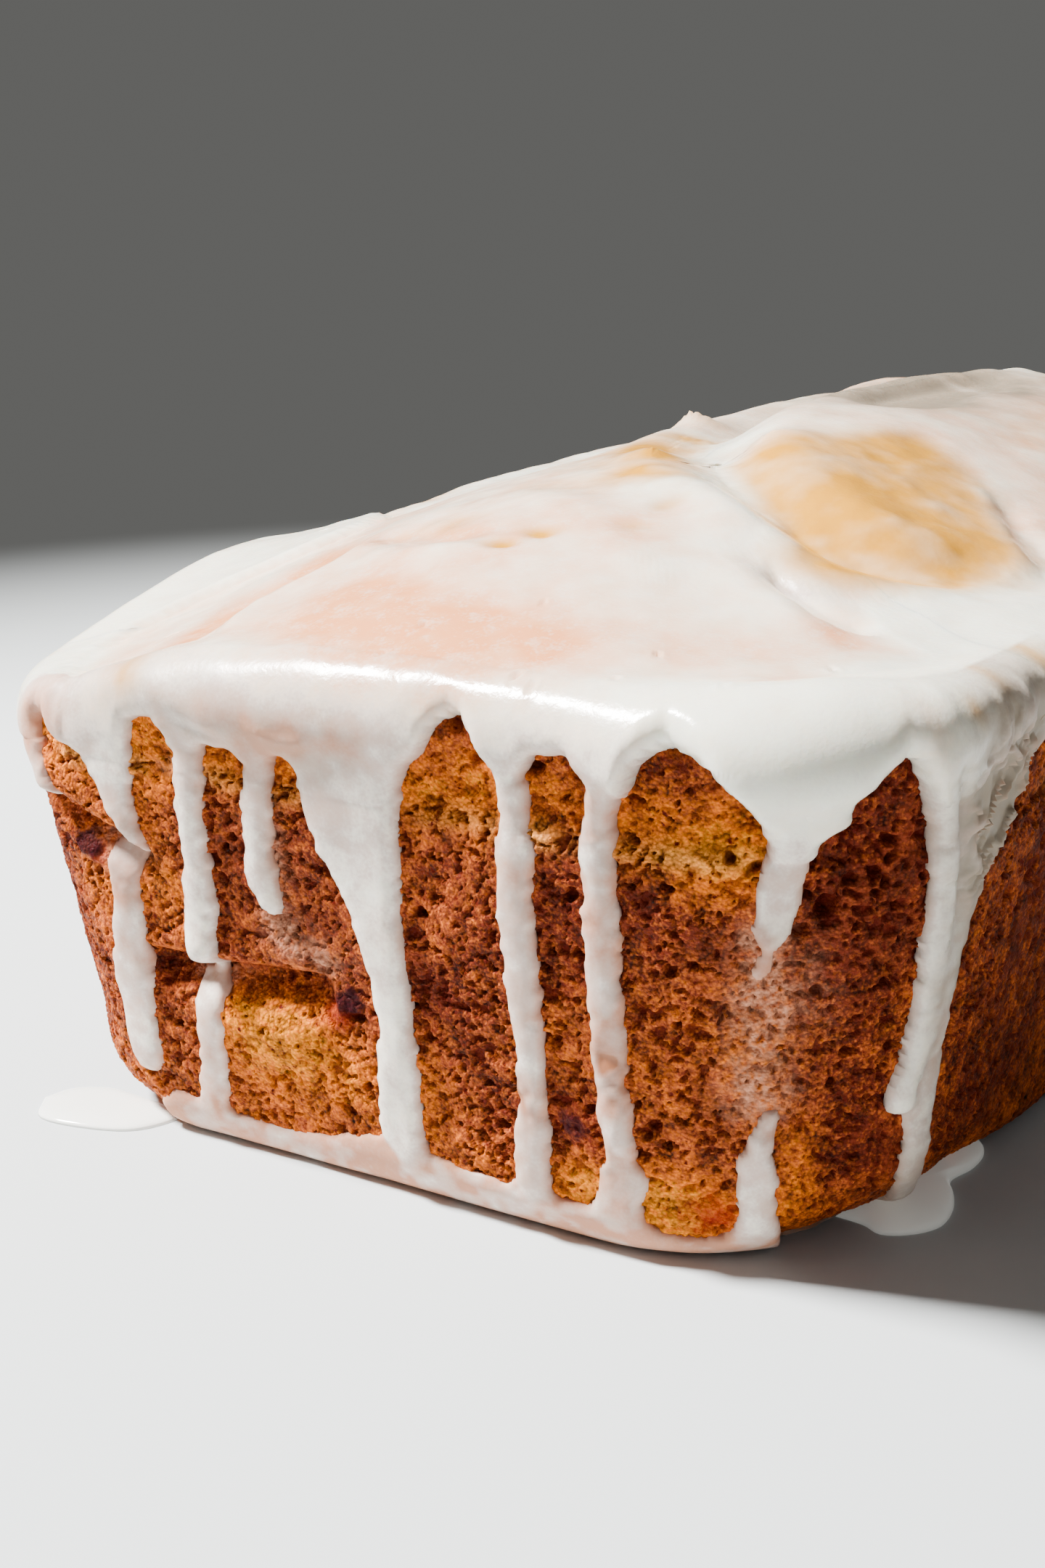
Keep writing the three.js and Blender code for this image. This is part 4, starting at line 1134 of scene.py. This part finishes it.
# Its lowest row, its steps round the rim, and every how many columns a ring of the top keeps
# while its share of the rim is above the first number.
FIRST_LEVEL, ICING_TURNS = 0.06, 10
RING_SKIPS = ((0.5, 1), (0.25, 2), (0.12, 4), (0, 8))
# The columns of a piece without the extra one at each end, and its two ends.
KEPT_COLUMNS, END_COLUMNS = slice(1, -1), (0, -1)
# How softly the icing covers the ledge.
LEDGE_COVER = 2.6
# Where the coat swells over the front rim: s, z, spread along, spread up, and how much.
RIM_SWELL = (
    (46, 51.2, 11, 4.2, 2.3), (46, 56.6, 11, 2.8, 1.7), (29, 54.2, 6, 2.8, 1.2),
    (69, 57.4, 9, 1.3, 0.9), (-2, 52, 6, 4, 0.3), (-20, 55, 22, 2.4, 1.1),
)
# In the same terms: where the crust's gold shows at the rim; painted shade that greys the coat under the
# rim, on the sheet and by the near corner, partly thin icing over the dark crust; and where it is more or
# less sheer than elsewhere, partly painted shade under the rim, and where negative, painted light that
# whitens the coat at the left and near corners.
WALL_GOLD = (
    (61.5, 57.4, 0.9, 0.5, 0.5), (67.5, 58.2, 1.1, 0.5, 0.5), (79, 58.6, 2, 0.8, 0.5),
    (-27.5, 54.3, 1.5, 0.8, 0.7),
)
WALL_PAINTED_SHADE = (
    (71, 49, 7, 7, 1.1), (66, 36, 3.5, 9, 0.6), (61, 28, 4, 14, 0.25), (59, 6, 4, 5, 0.4),
    (-24, 53, 11, 2.4, 0.35), (-4, 51, 6, 4, 0.2), (10, 58, 8, 1.6, 0.15),
)
WALL_SHEER_AND_SHADE = (
    (-14, 52.8, 9, 2.4, 0.6), (1, 53.6, 7, 2.2, 0.42), (-60, 46, 7, 12, -0.8), (46, 53, 8, 6, -0.3),
    (-40, 50, 4, 3, 0.5), (70, 49, 7, 8, 0.42), (-6, 47, 5, 5, 0.22), (-46.5, 48, 3.4, 6, 0.5),
    (-38, 31, 4, 3, 0.3), (24, 55, 5, 2, 0.25), (43.5, 46, 2.5, 3, 0.3),
)
# The sheet of icing at the right of the front end: where it starts and ends along the walk and
# up the wall, and its facets; then the ripples of the run beside it.
SHEET = dict(
    walk=((61, 64.5), (88, 80)), height=((36, 44), (58, 55)),
    slant=1.1, facet_width=1.9, facet_length=5.0, crest=0.5, slope=2.3, deepest=0.4,
)
RIPPLES = dict(s=60, spread=2.2, height=0.2)
# Heights from the rim between which the top's rules take over from the wall's.
TOP_BEGINS = (-7, 1.5)
# The top's ring, as a share of the rim's, where the swell over the rim has ended.
SWELL_ENDS = 0.9
# How much thinner the icing is where the crust is bare, how deep in the crust its edge lies, its
# least lift on the top, and the least and most of the crust's folds that it follows.
BARE_DEPTH, EDGE_DEPTH, LEAST_LIFT = 0.6, 0.25, 0.7
SKIN_RANGE = (-2.2, 1)
# Where the icing along the foot begins to stand level, and how much of the rounding it fills.
POOL_BEGINS, POOL_FILL = (-1.2, 1.5), 0.65
LOWEST_OUTSIDE = 0.05


def crossings(body, edge_points, values, field, axis):
    """Adds a vertex on each grid line of one direction that the icing's outline crosses."""
    count = field.shape[axis]
    low = np.take(field, range(count - 1), axis)
    high = np.take(field, range(1, count), axis)
    crossed = (low > 0) != (high > 0)
    share = (low / np.where(crossed, low - high, 1))[crossed][:, None]
    start = np.take(edge_points, range(count - 1), axis)[crossed]
    end = np.take(edge_points, range(1, count), axis)[crossed]
    there = np.take(values, range(count - 1), axis)[crossed]
    ids = np.full(crossed.shape, -1)
    ids[crossed] = body.add(start + (end - start) * share, there)
    return ids


def march(body, outer, inner, across, upwards, inside):
    """Outer and inner faces of the part of a grid inside the outline."""
    for i in range(len(inside) - 1):
        for j in range(len(inside[0]) - 1):
            corners = ((i, j), (i, j + 1), (i + 1, j + 1), (i + 1, j))
            within = [inside[a][b] for a, b in corners]
            if not any(within):
                continue
            sides = (across[i][j], upwards[i][j + 1], across[i + 1][j], upwards[i][j])
            outside_face, inside_face = [], []
            for k, (a, b) in enumerate(corners):
                if within[k]:
                    outside_face.append(outer[a][b])
                    inside_face.append(inner[a][b])
                if within[k] != within[(k + 1) % 4]:
                    outside_face.append(sides[k])
                    inside_face.append(sides[k])
            body.faces.append(outside_face)
            body.faces.append(inside_face[::-1])


def cap(body, pairs, flip):
    """Closes an end of the skin between pairs of outer and inner vertices going up."""
    for (low_out, low_in), (high_out, high_in) in zip(pairs, pairs[1:]):
        if low_out is None or high_out is None:
            continue
        face = list(dict.fromkeys([low_out, high_out, high_in, low_in]))
        if len(face) > 2:
            body.faces.append(face[::-1] if flip else face)


def icing_grid(start, end, steps, wall_step, top_rows):
    """The crust under a piece of icing, one column wider at each end than the piece."""
    step = (end - start) / steps
    s = start + step * np.arange(-1, steps + 2)
    levels = np.arange(FIRST_LEVEL, RIM_HEIGHT - RIM_ROUNDING, wall_step)
    turns = np.linspace(0, 1, ICING_TURNS + 1)[1:]
    shares = np.linspace(1, 0, top_rows + 1)[1:-1]
    base, rows_s, rows_z = surface(s, levels, turns, shares)
    return dict(base=base, s=rows_s, z=rows_z, wall=slice(0, len(levels) + len(turns)), shares=shares)


def sheet_facets(walked, z):
    """Flat facets of the sheet of icing at the right of the front end."""
    across = (walked - SHEET["slant"] * z) / SHEET["facet_width"]
    along = (walked + z) / SHEET["facet_length"]
    folded = np.abs(layered_noise(stack(across, along, 0 * z), 1, 127, 2))
    sheet = plateau(*SHEET["walk"], walked) * plateau(*SHEET["height"], z)
    return sheet * (SHEET["crest"] - SHEET["slope"] * np.minimum(folded, SHEET["deepest"]))


def wall_lift(grid, thickness, bare):
    """Lift of the icing on the wall before its wrinkles, thinner where the crust is bare."""
    wall, z = grid["base"][grid["wall"]], grid["z"][grid["wall"]]
    over_step = smooth_ledge(z, LEDGE_COVER) - smooth_ledge(z, LEDGE["softness"])
    wanted = thickness + over_step + 0.12 * noise(wall, 4.5, 121)
    return wanted - BARE_DEPTH * clamp(bare) * (0.7 + 0.5 * noise(wall, 0.9, 133))


def wall_wrinkles(walked, z, facets):
    """Ridges, facets and, near the long run at the corner, ripples of the icing on the wall."""
    ripples = noise(stack(walked / 2.5, z / 0.75, 0 * z), 1, 130)
    near = gauss(walked - RIPPLES["s"], RIPPLES["spread"])
    return line_relief(walked, z, FAN_LINES, 0) + facets + RIPPLES["height"] * near * ripples


def set_wall_values(values, points, s, z, upward, bare, facets, shown, field):
    """Turns the top's values into the wall's below the rim, in place, and adds its patches."""
    sheer_and_shade = shown * (1 + 0.5 * noise(points, 3, 123) + 0.4 * noise(points, 1.1, 134))
    sheer_and_shade = sheer_and_shade + 0.3 * smooth_step(0.8, 0, field)
    # Painted shade: greys the coat in patches, more in the valleys of the sheet's facets and less on
    # their crests.
    painted_shade = patches(s, z, WALL_PAINTED_SHADE) * (1 + 0.4 * noise(points, 3, 132)) - 0.9 * facets
    on_wall = stack(0.12 + 0 * bare, 0 * bare, sheer_and_shade, bare, painted_shade)
    values[:] = on_wall + (values - on_wall) * upward[..., None]
    gold = patches(s, z, WALL_GOLD) * (1 + 0.5 * noise(points, 1.3, 129))
    # Partly painted shade under the rim; the negative patches are painted light that whitens shaded
    # corners.
    sheer_and_shade = patches(s, z, WALL_SHEER_AND_SHADE) * (1 + 0.6 * layered_noise(points, 3.5, 128, 2))
    for key, more in (("gold", gold), ("sheer_and_shade", sheer_and_shade), ("painted_shade", painted_shade * upward)):
        values[..., ICING_ATTRIBUTES.index(key)] += more


def icing_relief(grid):
    """Lift of the icing off the crust, its values, its field on the wall, and how far up there the
    top's rules have taken over from the wall's."""
    part = grid["wall"]
    wall, s, z = grid["base"][part], grid["s"][part], grid["z"][part]
    lift, values = top_icing(grid["base"])
    field, thickness, shown = wall_icing(wall, s, z)
    upward = smooth_step(*TOP_BEGINS, z - rim_near(s))
    bare = patches(s, z, BARE) * (1 + 0.9 * noise(wall, 1.1, 125)) * (1 - upward)
    walked = walk_between(0, s)
    facets = sheet_facets(walked, z)
    rounding = np.sqrt(1 - (1 - clamp(field / EDGE_WIDTH)) ** 2)
    wanted = wall_lift(grid, thickness, bare)
    wrinkles = wall_wrinkles(walked, z, facets)
    lift[part] = (wanted + wrinkles + (lift[part] - wanted) * upward) * rounding

    swell = patches(grid["s"], grid["z"], RIM_SWELL)
    swell[part] *= rounding
    swell[part.stop:] *= smooth_step(SWELL_ENDS, 1, grid["shares"])[:, None]
    set_wall_values(values[part], wall, s, z, upward, bare, facets, shown, field)
    return lift + swell, clamp(values), field, upward


def skin_points(grid, lift, upward):
    """Points of the icing's outer face and inner face, and of its edge on the wall."""
    base, part = grid["base"], grid["wall"]
    s, z = grid["s"][part], grid["z"][part]
    normal = normals_of(base)
    skin = np.zeros(lift.shape)
    skin[part] = np.clip(soft_relief(base[part], s, z), *SKIN_RANGE) * (1 - upward)

    place = outline_at(s)
    level = stack(place["normal_x"], place["normal_y"], 0 * z)
    pooled = smooth_step(*POOL_BEGINS, foot_edge(s) - z)[..., None]
    ahead = normal.copy()
    ahead[part] += (level - normal[part]) * pooled
    filled = np.zeros(base.shape)
    filled[part] = POOL_FILL * level * pooled * foot_inset(place, z)[..., None]

    outer = base + ahead * (lift + skin)[..., None] + filled
    outer[..., 2] = np.maximum(outer[..., 2], LOWEST_OUTSIDE)
    inner = base + normal * (skin - INNER_DEPTH)[..., None]
    edge = base + normal * (skin - EDGE_DEPTH)[..., None]
    return outer[:, KEPT_COLUMNS], inner[:, KEPT_COLUMNS], edge[part, KEPT_COLUMNS]


def end_pairs(outer, inner, upwards, inside, column):
    """Outer and inner vertices in pairs going up one end of the wall; None where it is bare."""
    pairs = []
    for i, within in enumerate(inside[:, column]):
        pairs.append((outer[i, column], inner[i, column]) if within else (None, None))
        if i + 1 < len(inside) and within != inside[i + 1, column]:
            pairs.append((upwards[i, column], upwards[i, column]))
    return pairs


def add_wall_skin(body, outer, inner, edge, values, field):
    """Both faces of the icing on the wall. Returns their top rows and the pairs at both ends."""
    inside = field > 0
    outer_ids, inner_ids = np.full(inside.shape, -1), np.full(inside.shape, -1)
    outer_ids[inside] = body.add(outer[inside], values[inside])
    inner_ids[inside] = body.add(inner[inside], values[inside])
    across = crossings(body, edge, values, field, 1)
    upwards = crossings(body, edge, values, field, 0)
    grids = (outer_ids, inner_ids, across, upwards, inside)
    march(body, *(grid.tolist() for grid in grids))
    ends = [end_pairs(outer_ids, inner_ids, upwards, inside, column) for column in END_COLUMNS]
    return (outer_ids[-1], inner_ids[-1]), ends


def add_top_skin(body, outer, inner, values, shares, rows, ends):
    """Both faces of the icing on the top, whose rings have fewer columns towards the middle."""
    outer_row, inner_row = rows
    for index, share in enumerate(shares):
        skip = next(skip for least, skip in RING_SKIPS if share > least)
        next_outer = body.add(outer[index][::skip], values[index][::skip])
        next_inner = body.add(inner[index][::skip], values[index][::skip])
        body.join(outer_row, next_outer)
        body.join(inner_row, next_inner, flip=True)
        outer_row, inner_row = next_outer, next_inner
        for column, pairs in zip(END_COLUMNS, ends):
            pairs.append((outer_row[column], inner_row[column]))

    middle = top_middle()
    middle_lift, middle_values = top_icing(middle)
    above = body.add(middle + (0, 0, middle_lift[0]), middle_values)[0]
    below = body.add(middle - (0, 0, INNER_DEPTH), middle_values)[0]
    body.fan(outer_row, above)
    body.fan(inner_row, below, flip=True)
    for pairs in ends:
        pairs.append((above, below))


def icing_piece(name, start, end, steps, wall_step, top_rows, material):
    """A wedge of the icing's skin from above TOP_CENTRE over the rim and down its stretch of wall."""
    grid = icing_grid(start, end, steps, wall_step, top_rows)
    lift, values, field, upward = icing_relief(grid)
    outer, inner, edge = skin_points(grid, lift, upward)
    values, field = values[:, KEPT_COLUMNS], field[:, KEPT_COLUMNS]
    low = grid["wall"].stop

    body = Rows()
    rows, ends = add_wall_skin(body, outer[:low], inner[:low], edge, values[:low], field)
    add_top_skin(body, outer[low:], inner[low:], values[low:], grid["shares"], rows, ends)
    smooth_faces = len(body.faces)
    for pairs, flip in zip(ends, (False, True)):
        cap(body, pairs, flip)
    flat_faces = len(body.faces) - smooth_faces
    return make_mesh(name, body, flat_faces, ICING_ATTRIBUTES, material, ["icing"])


# --- Puddles ------------------------------------------------------------------------

# Columns round a puddle, the height of its edge, and its rings as shares of its outline.
PUDDLE_COLUMNS, PUDDLE_EDGE = 96, 0.05
PUDDLE_SHARES = (1, 0.97, 0.92, 0.85, 0.75, 0.6, 0.4, 0.2)
# Icing that ran onto the floor: outline as x and y, and greatest height.
PUDDLES = (
    (((-53.4, -103.6), (-52.4, -100), (-48.5, -97.4), (-43.6, -97.4), (-37.5, -98.2), (-35.6, -99.6),
      (-37.6, -104.6), (-43.6, -107.3), (-50.2, -107.6)), 0.8),
    (((41, -83), (44.7, -83.4), (46.9, -84.4), (49.6, -83), (51.6, -79.9), (51.4, -75.9), (50, -72.2),
      (48.4, -69.3), (49.2, -65), (48.8, -60.9), (46.8, -58), (42, -60), (38, -67), (37, -77)), 1.2),
)


def puddle(index, outline, height, material):
    """A low lens with a rounded edge."""
    middle = np.mean(outline, axis=0)
    ring = spline((*outline, outline[0]), PUDDLE_COLUMNS + 1)[:-1]
    body = Rows()
    bottom = body.add(np.array([[*middle, 0.0]]), np.zeros((1, 1)))[0]
    rows = []
    for share in PUDDLE_SHARES:
        rise = height * (1 - share**5) ** 0.5
        flat = middle + (ring - middle) * share
        points = np.column_stack([flat, np.full(len(flat), PUDDLE_EDGE + rise)])
        points[:, 2] += 0.06 * rise * noise(points, 4, 131)
        rows.append(body.add(points, np.zeros((len(flat), 1))))
    top = body.add(np.array([[*middle, PUDDLE_EDGE + height]]), np.zeros((1, 1)))[0]
    body.fan(rows[0], bottom, True, flip=True)
    for lower, upper in zip(rows, rows[1:]):
        body.join(lower, upper, True)
    body.fan(rows[-1], top, True)
    return make_mesh(f"puddle_{index + 1}", body, 0, (), material)


# --- Materials ----------------------------------------------------------------------

CRUMB_COLOURS = (
    (0.00, (0.64, 0.190, 0.0)),
    (0.20, (0.63, 0.140, 0.0)),
    (0.42, (0.53, 0.108, 0.002)),
    (0.70, (0.32, 0.063, 0.011)),
    (1.00, (0.115, 0.016, 0.006)),
)
# Painted shade in the pores, partly the crumb's darker inside.
PIT_SHADE_COLOUR = (0.080, 0.005, 0.0015)
# Crisp grains on the ledge, partly a painted highlight.
CRISP_AND_LIT_COLOUR = (0.92, 0.37, 0.07)
DUSK_COLOUR = (0.19, 0.034, 0.010)
FILM_COLOUR = (0.60, 0.26, 0.15)
FRUIT_COLOUR = (0.020, 0.002, 0.005)
STAIN_COLOUR = (0.28, 0.010, 0.004)
ICING_COLOUR = (0.93, 0.91, 0.77)
THIN_COLOUR = (0.78, 0.31, 0.13)
GOLD_COLOUR = (0.60, 0.27, 0.014)
# Icing on the walls, from opaque to sheer.
SHEER_COLOURS = ((0.0, (0.87, 0.85, 0.77)), (0.45, (0.60, 0.45, 0.38)), (1.0, (0.50, 0.23, 0.14)))
# The colour of painted shade on the icing, partly thin icing over the dark crust.
PAINTED_SHADE_COLOUR = (0.29, 0.23, 0.165)
BARE_COLOUR = (0.30, 0.10, 0.035)
GLAZE_COLOUR = (0.90, 0.90, 0.84)


class Nodes:
    """A material's node tree, with short ways to add nodes to it."""

    def __init__(self, name):
        self.material = bpy.data.materials.new(name)
        self.material.use_nodes = True
        self.tree = self.material.node_tree
        self.shader = self.tree.nodes["Principled BSDF"]

    def put(self, socket, value):
        if isinstance(value, bpy.types.NodeSocket):
            self.tree.links.new(value, socket)
        elif socket.type == "RGBA":
            socket.default_value = (*value, 1)
        else:
            socket.default_value = value

    def shade(self, **inputs):
        for name, value in inputs.items():
            self.put(self.shader.inputs[name.replace("_", " ")], value)

    def attribute(self, name):
        node = self.tree.nodes.new("ShaderNodeAttribute")
        node.attribute_name = name
        return node.outputs["Fac"]

    def textured(self, kind, socket):
        """A node whose socket takes the piece's own places."""
        node = self.tree.nodes.new(kind)
        place = self.tree.nodes.new("ShaderNodeTexCoord")
        self.put(node.inputs[socket], place.outputs["Object"])
        return node

    def speckle(self, size, detail=2.0):
        """Noise around a half with features of the given size in mm."""
        node = self.textured("ShaderNodeTexNoise", "Vector")
        self.put(node.inputs["Scale"], 1 / (size * MM))
        self.put(node.inputs["Detail"], detail)
        return node.outputs["Fac"]

    def varied(self, name, size, amount):
        """The piece's named value, moved up and down by speckles of the given size."""
        return self.spread(self.speckle(size, 3), amount, self.attribute(name))

    def part(self, name, factor):
        return self.product(self.attribute(name), factor)

    def grains(self, size):
        """Distance to the nearest of scattered grains of the given size in mm."""
        node = self.textured("ShaderNodeTexVoronoi", "Vector")
        self.put(node.inputs["Scale"], 1 / (size * MM))
        return node.outputs["Distance"]

    def spread(self, speckle, amount, middle):
        """A value that the speckle moves up and down around its middle."""
        return self.math("MULTIPLY_ADD", self.math("SUBTRACT", speckle, 0.5), amount, middle)

    def scaled(self, colour, factor):
        node = self.tree.nodes.new("ShaderNodeVectorMath")
        node.operation = "SCALE"
        self.put(node.inputs[0], colour)
        self.put(node.inputs["Scale"], factor)
        return node.outputs["Vector"]

    def product(self, a, b):
        return self.math("MULTIPLY", a, b)

    def math(self, operation, a, b, c=0.0):
        node = self.tree.nodes.new("ShaderNodeMath")
        node.operation = operation
        for socket, value in zip(node.inputs, (a, b, c)):
            self.put(socket, value)
        return node.outputs[0]

    def mix(self, share, a, b):
        node = self.tree.nodes.new("ShaderNodeMix")
        node.data_type = "RGBA"
        self.put(node.inputs["Factor"], share)
        self.put(node.inputs[6], a)
        self.put(node.inputs[7], b)
        return node.outputs[2]

    def ramp(self, value, stops):
        node = self.tree.nodes.new("ShaderNodeValToRGB")
        self.put(node.inputs["Fac"], value)
        node.color_ramp.interpolation = "EASE" if len(stops) == 2 else "LINEAR"
        points = node.color_ramp.elements
        while len(points) < len(stops):
            points.new(0.5)
        for point, (place, colour) in zip(points, stops):
            point.position = place
            point.color = (*colour, 1)
        return node.outputs["Color"]

    def bump(self, height, depth, strength=1.0):
        node = self.tree.nodes.new("ShaderNodeBump")
        self.put(node.inputs["Height"], height)
        self.put(node.inputs["Distance"], depth * MM)
        self.put(node.inputs["Strength"], strength)
        self.put(self.shader.inputs["Normal"], node.outputs["Normal"])


def crumb_material():
    nodes = Nodes("crumb")
    fine, grains = nodes.speckle(0.7, 3), nodes.grains(0.42)
    bake = nodes.varied("bake", 1.3, 0.9)
    bake = nodes.spread(nodes.speckle(0.35, 2), 1.3, bake)
    colour = nodes.ramp(bake, CRUMB_COLOURS)
    dusk = nodes.product(nodes.spread(nodes.speckle(7, 2), 3.0, 0.0), nodes.attribute("bake"))
    colour = nodes.mix(dusk, colour, DUSK_COLOUR)
    # Painted highlight and shade: lighter on raised crumb and grain middles, darker at the grains'
    # borders.
    grain_light_and_shade = nodes.math("MULTIPLY_ADD", grains, -0.9, nodes.math("ADD", nodes.attribute("ridge_highlight"), 0.85))
    # Partly painted highlight along the ledge's top.
    colour = nodes.mix(nodes.part("crisp_and_lit", 0.6), colour, CRISP_AND_LIT_COLOUR)
    colour = nodes.scaled(colour, grain_light_and_shade)
    # Painted shade in the pores: the pits, and tiny pits of noise that the bump also sinks, are darkened.
    tiny_pit_shade = nodes.math("MULTIPLY_ADD", fine, -9.0, 3.9)
    pit = nodes.math("MAXIMUM", nodes.attribute("pit"), tiny_pit_shade)
    colour = nodes.mix(nodes.product(pit, 0.8), colour, PIT_SHADE_COLOUR)
    film = nodes.product(nodes.attribute("film"), nodes.spread(nodes.speckle(0.8, 3), 2.8, 0.55))
    colour = nodes.mix(film, colour, FILM_COLOUR)
    colour = nodes.mix(nodes.part("red", 0.7), colour, STAIN_COLOUR)
    colour = nodes.mix(nodes.part("fruit", 0.95), colour, FRUIT_COLOUR)
    rough = nodes.math("MULTIPLY_ADD", nodes.speckle(0.9), 0.5, 0.28)
    height = nodes.math("MULTIPLY_ADD", grains, -0.6, fine)
    nodes.bump(height, 0.3, 0.9)
    nodes.shade(Base_Color=colour, Roughness=rough, Specular_IOR_Level=0.04)
    return nodes.material


def icing_material():
    nodes = Nodes("icing")
    thin = nodes.varied("thin", 3.0, 0.3)
    colour = nodes.mix(thin, ICING_COLOUR, THIN_COLOUR)
    # The sheer colour is partly painted shade on the crack's sides and on the coat under the rim.
    sheer_and_shade = nodes.varied("sheer_and_shade", 2.0, 0.35)
    sheer_and_shade = nodes.spread(nodes.speckle(0.4, 2), 0.3, sheer_and_shade)
    colour = nodes.mix(nodes.product(sheer_and_shade, 3.0), colour, nodes.ramp(sheer_and_shade, SHEER_COLOURS))
    gold = nodes.varied("gold", 3.4, 0.35)
    colour = nodes.mix(gold, colour, GOLD_COLOUR)
    colour = nodes.mix(nodes.part("bare", 1.25), colour, BARE_COLOUR)
    # Painted shade: the grey mixed over the icing.
    painted_shade = nodes.varied("painted_shade", 1.2, 0.3)
    painted_shade = nodes.math("MINIMUM", painted_shade, nodes.part("painted_shade", 3.0))
    colour = nodes.mix(painted_shade, colour, PAINTED_SHADE_COLOUR)
    rough = nodes.math("MULTIPLY_ADD", nodes.speckle(2.2, 2), 0.18, 0.11)
    rough = nodes.math("MULTIPLY_ADD", nodes.attribute("sheer_and_shade"), 0.6, rough)
    nodes.bump(nodes.speckle(0.6, 3), 0.05, 0.7)
    nodes.shade(Base_Color=colour, Roughness=rough, Subsurface_Weight=0.4, Subsurface_Scale=1.2 * MM)
    nodes.shade(Subsurface_Radius=(1.0, 0.7, 0.5))
    return nodes.material


def glaze_material():
    nodes = Nodes("glaze")
    rough = nodes.math("MULTIPLY_ADD", nodes.speckle(3.0, 2), 0.1, 0.06)
    nodes.shade(Base_Color=GLAZE_COLOUR, Roughness=rough, IOR=1.42)
    # Painted light: the glaze glows faintly so the puddle in the cake's shadow looks brighter.
    nodes.shade(Emission_Color=GLAZE_COLOUR, Emission_Strength=0.14)
    return nodes.material


# --- Stage --------------------------------------------------------------------------

FLOOR_RADIUS, FLOOR_CORNERS = 3.0, 96
FLOOR_COLOUR = (0.58, 0.61, 0.62)
FLOOR_MIDDLE = (0.01, -0.04, 0.0)
# The pale floor fades into the world's colour between these distances from its middle.
FADE_START, FADE_END = 0.17, 0.40
WORLD_COLOUR = (0.125, 0.125, 0.12)
BLACK = (0.0, 0.0, 0.0)
# Name, place and aim in metres, size, power in watts, and colour.
LIGHTS = (
    ("key", (-0.70, -0.38, 1.01), (0, -0.04, 0.03), 0.22, 104.0, (1.0, 0.985, 0.96)),
    ("fill", (0.85, -0.70, 0.70), (0, -0.04, 0.03), 0.9, 0.8, (0.97, 0.985, 1.0)),
)


def floor_material():
    """Pale near the cake, fading into a glow of the world's colour."""
    nodes = Nodes("floor")
    reach = nodes.textured("ShaderNodeVectorMath", 0)
    reach.operation = "DISTANCE"
    reach.inputs[1].default_value = FLOOR_MIDDLE
    pale = nodes.ramp(reach.outputs["Value"], ((FADE_START, FLOOR_COLOUR), (FADE_END, BLACK)))
    glow = nodes.ramp(reach.outputs["Value"], ((FADE_START, BLACK), (FADE_END, WORLD_COLOUR)))
    nodes.shade(Base_Color=pale, Roughness=0.6, Specular_IOR_Level=0.0, Emission_Color=glow)
    nodes.shade(Emission_Strength=1.0)
    return nodes.material


def make_floor():
    angles = np.linspace(0, 2 * math.pi, FLOOR_CORNERS, endpoint=False)
    ring = [(FLOOR_RADIUS * math.cos(a), FLOOR_RADIUS * math.sin(a), 0.0) for a in angles]
    mesh = bpy.data.meshes.new("floor")
    mesh.from_pydata(ring, [], [list(range(len(ring)))])
    mesh.materials.append(floor_material())
    floor = add_object("floor", mesh)
    floor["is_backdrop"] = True


def make_world():
    world = bpy.data.worlds.new("studio")
    world.use_nodes = True
    background = world.node_tree.nodes["Background"]
    background.inputs["Color"].default_value = (*WORLD_COLOUR, 1)
    bpy.context.scene.world = world


def make_lights():
    for name, place, aim, size, power, colour in LIGHTS:
        data = bpy.data.lights.new(name, "AREA")
        data.shape = "DISK"
        data.size = size
        data.energy = power
        data.color = colour
        turn = (Vector(aim) - Vector(place)).to_track_quat("-Z", "Y").to_matrix().to_4x4()
        add_object(name, data).matrix_world = Matrix.Translation(place) @ turn


# --- Assembly -----------------------------------------------------------------------

make_camera()
make_floor()
make_world()
make_lights()
crumb_look, icing_look, glaze_look = crumb_material(), icing_material(), glaze_material()
for sponge in SPONGE_PIECES:
    sponge_piece(*sponge, crumb_look)
for icing in ICING_PIECES:
    icing_piece(*icing, icing_look)
for number, (edge, rise) in enumerate(PUDDLES):
    puddle(number, edge, rise, glaze_look)

boxes = dict(cad=[list(corner) for corner in cad_box])
boxes["scene"] = [list(corner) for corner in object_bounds()]
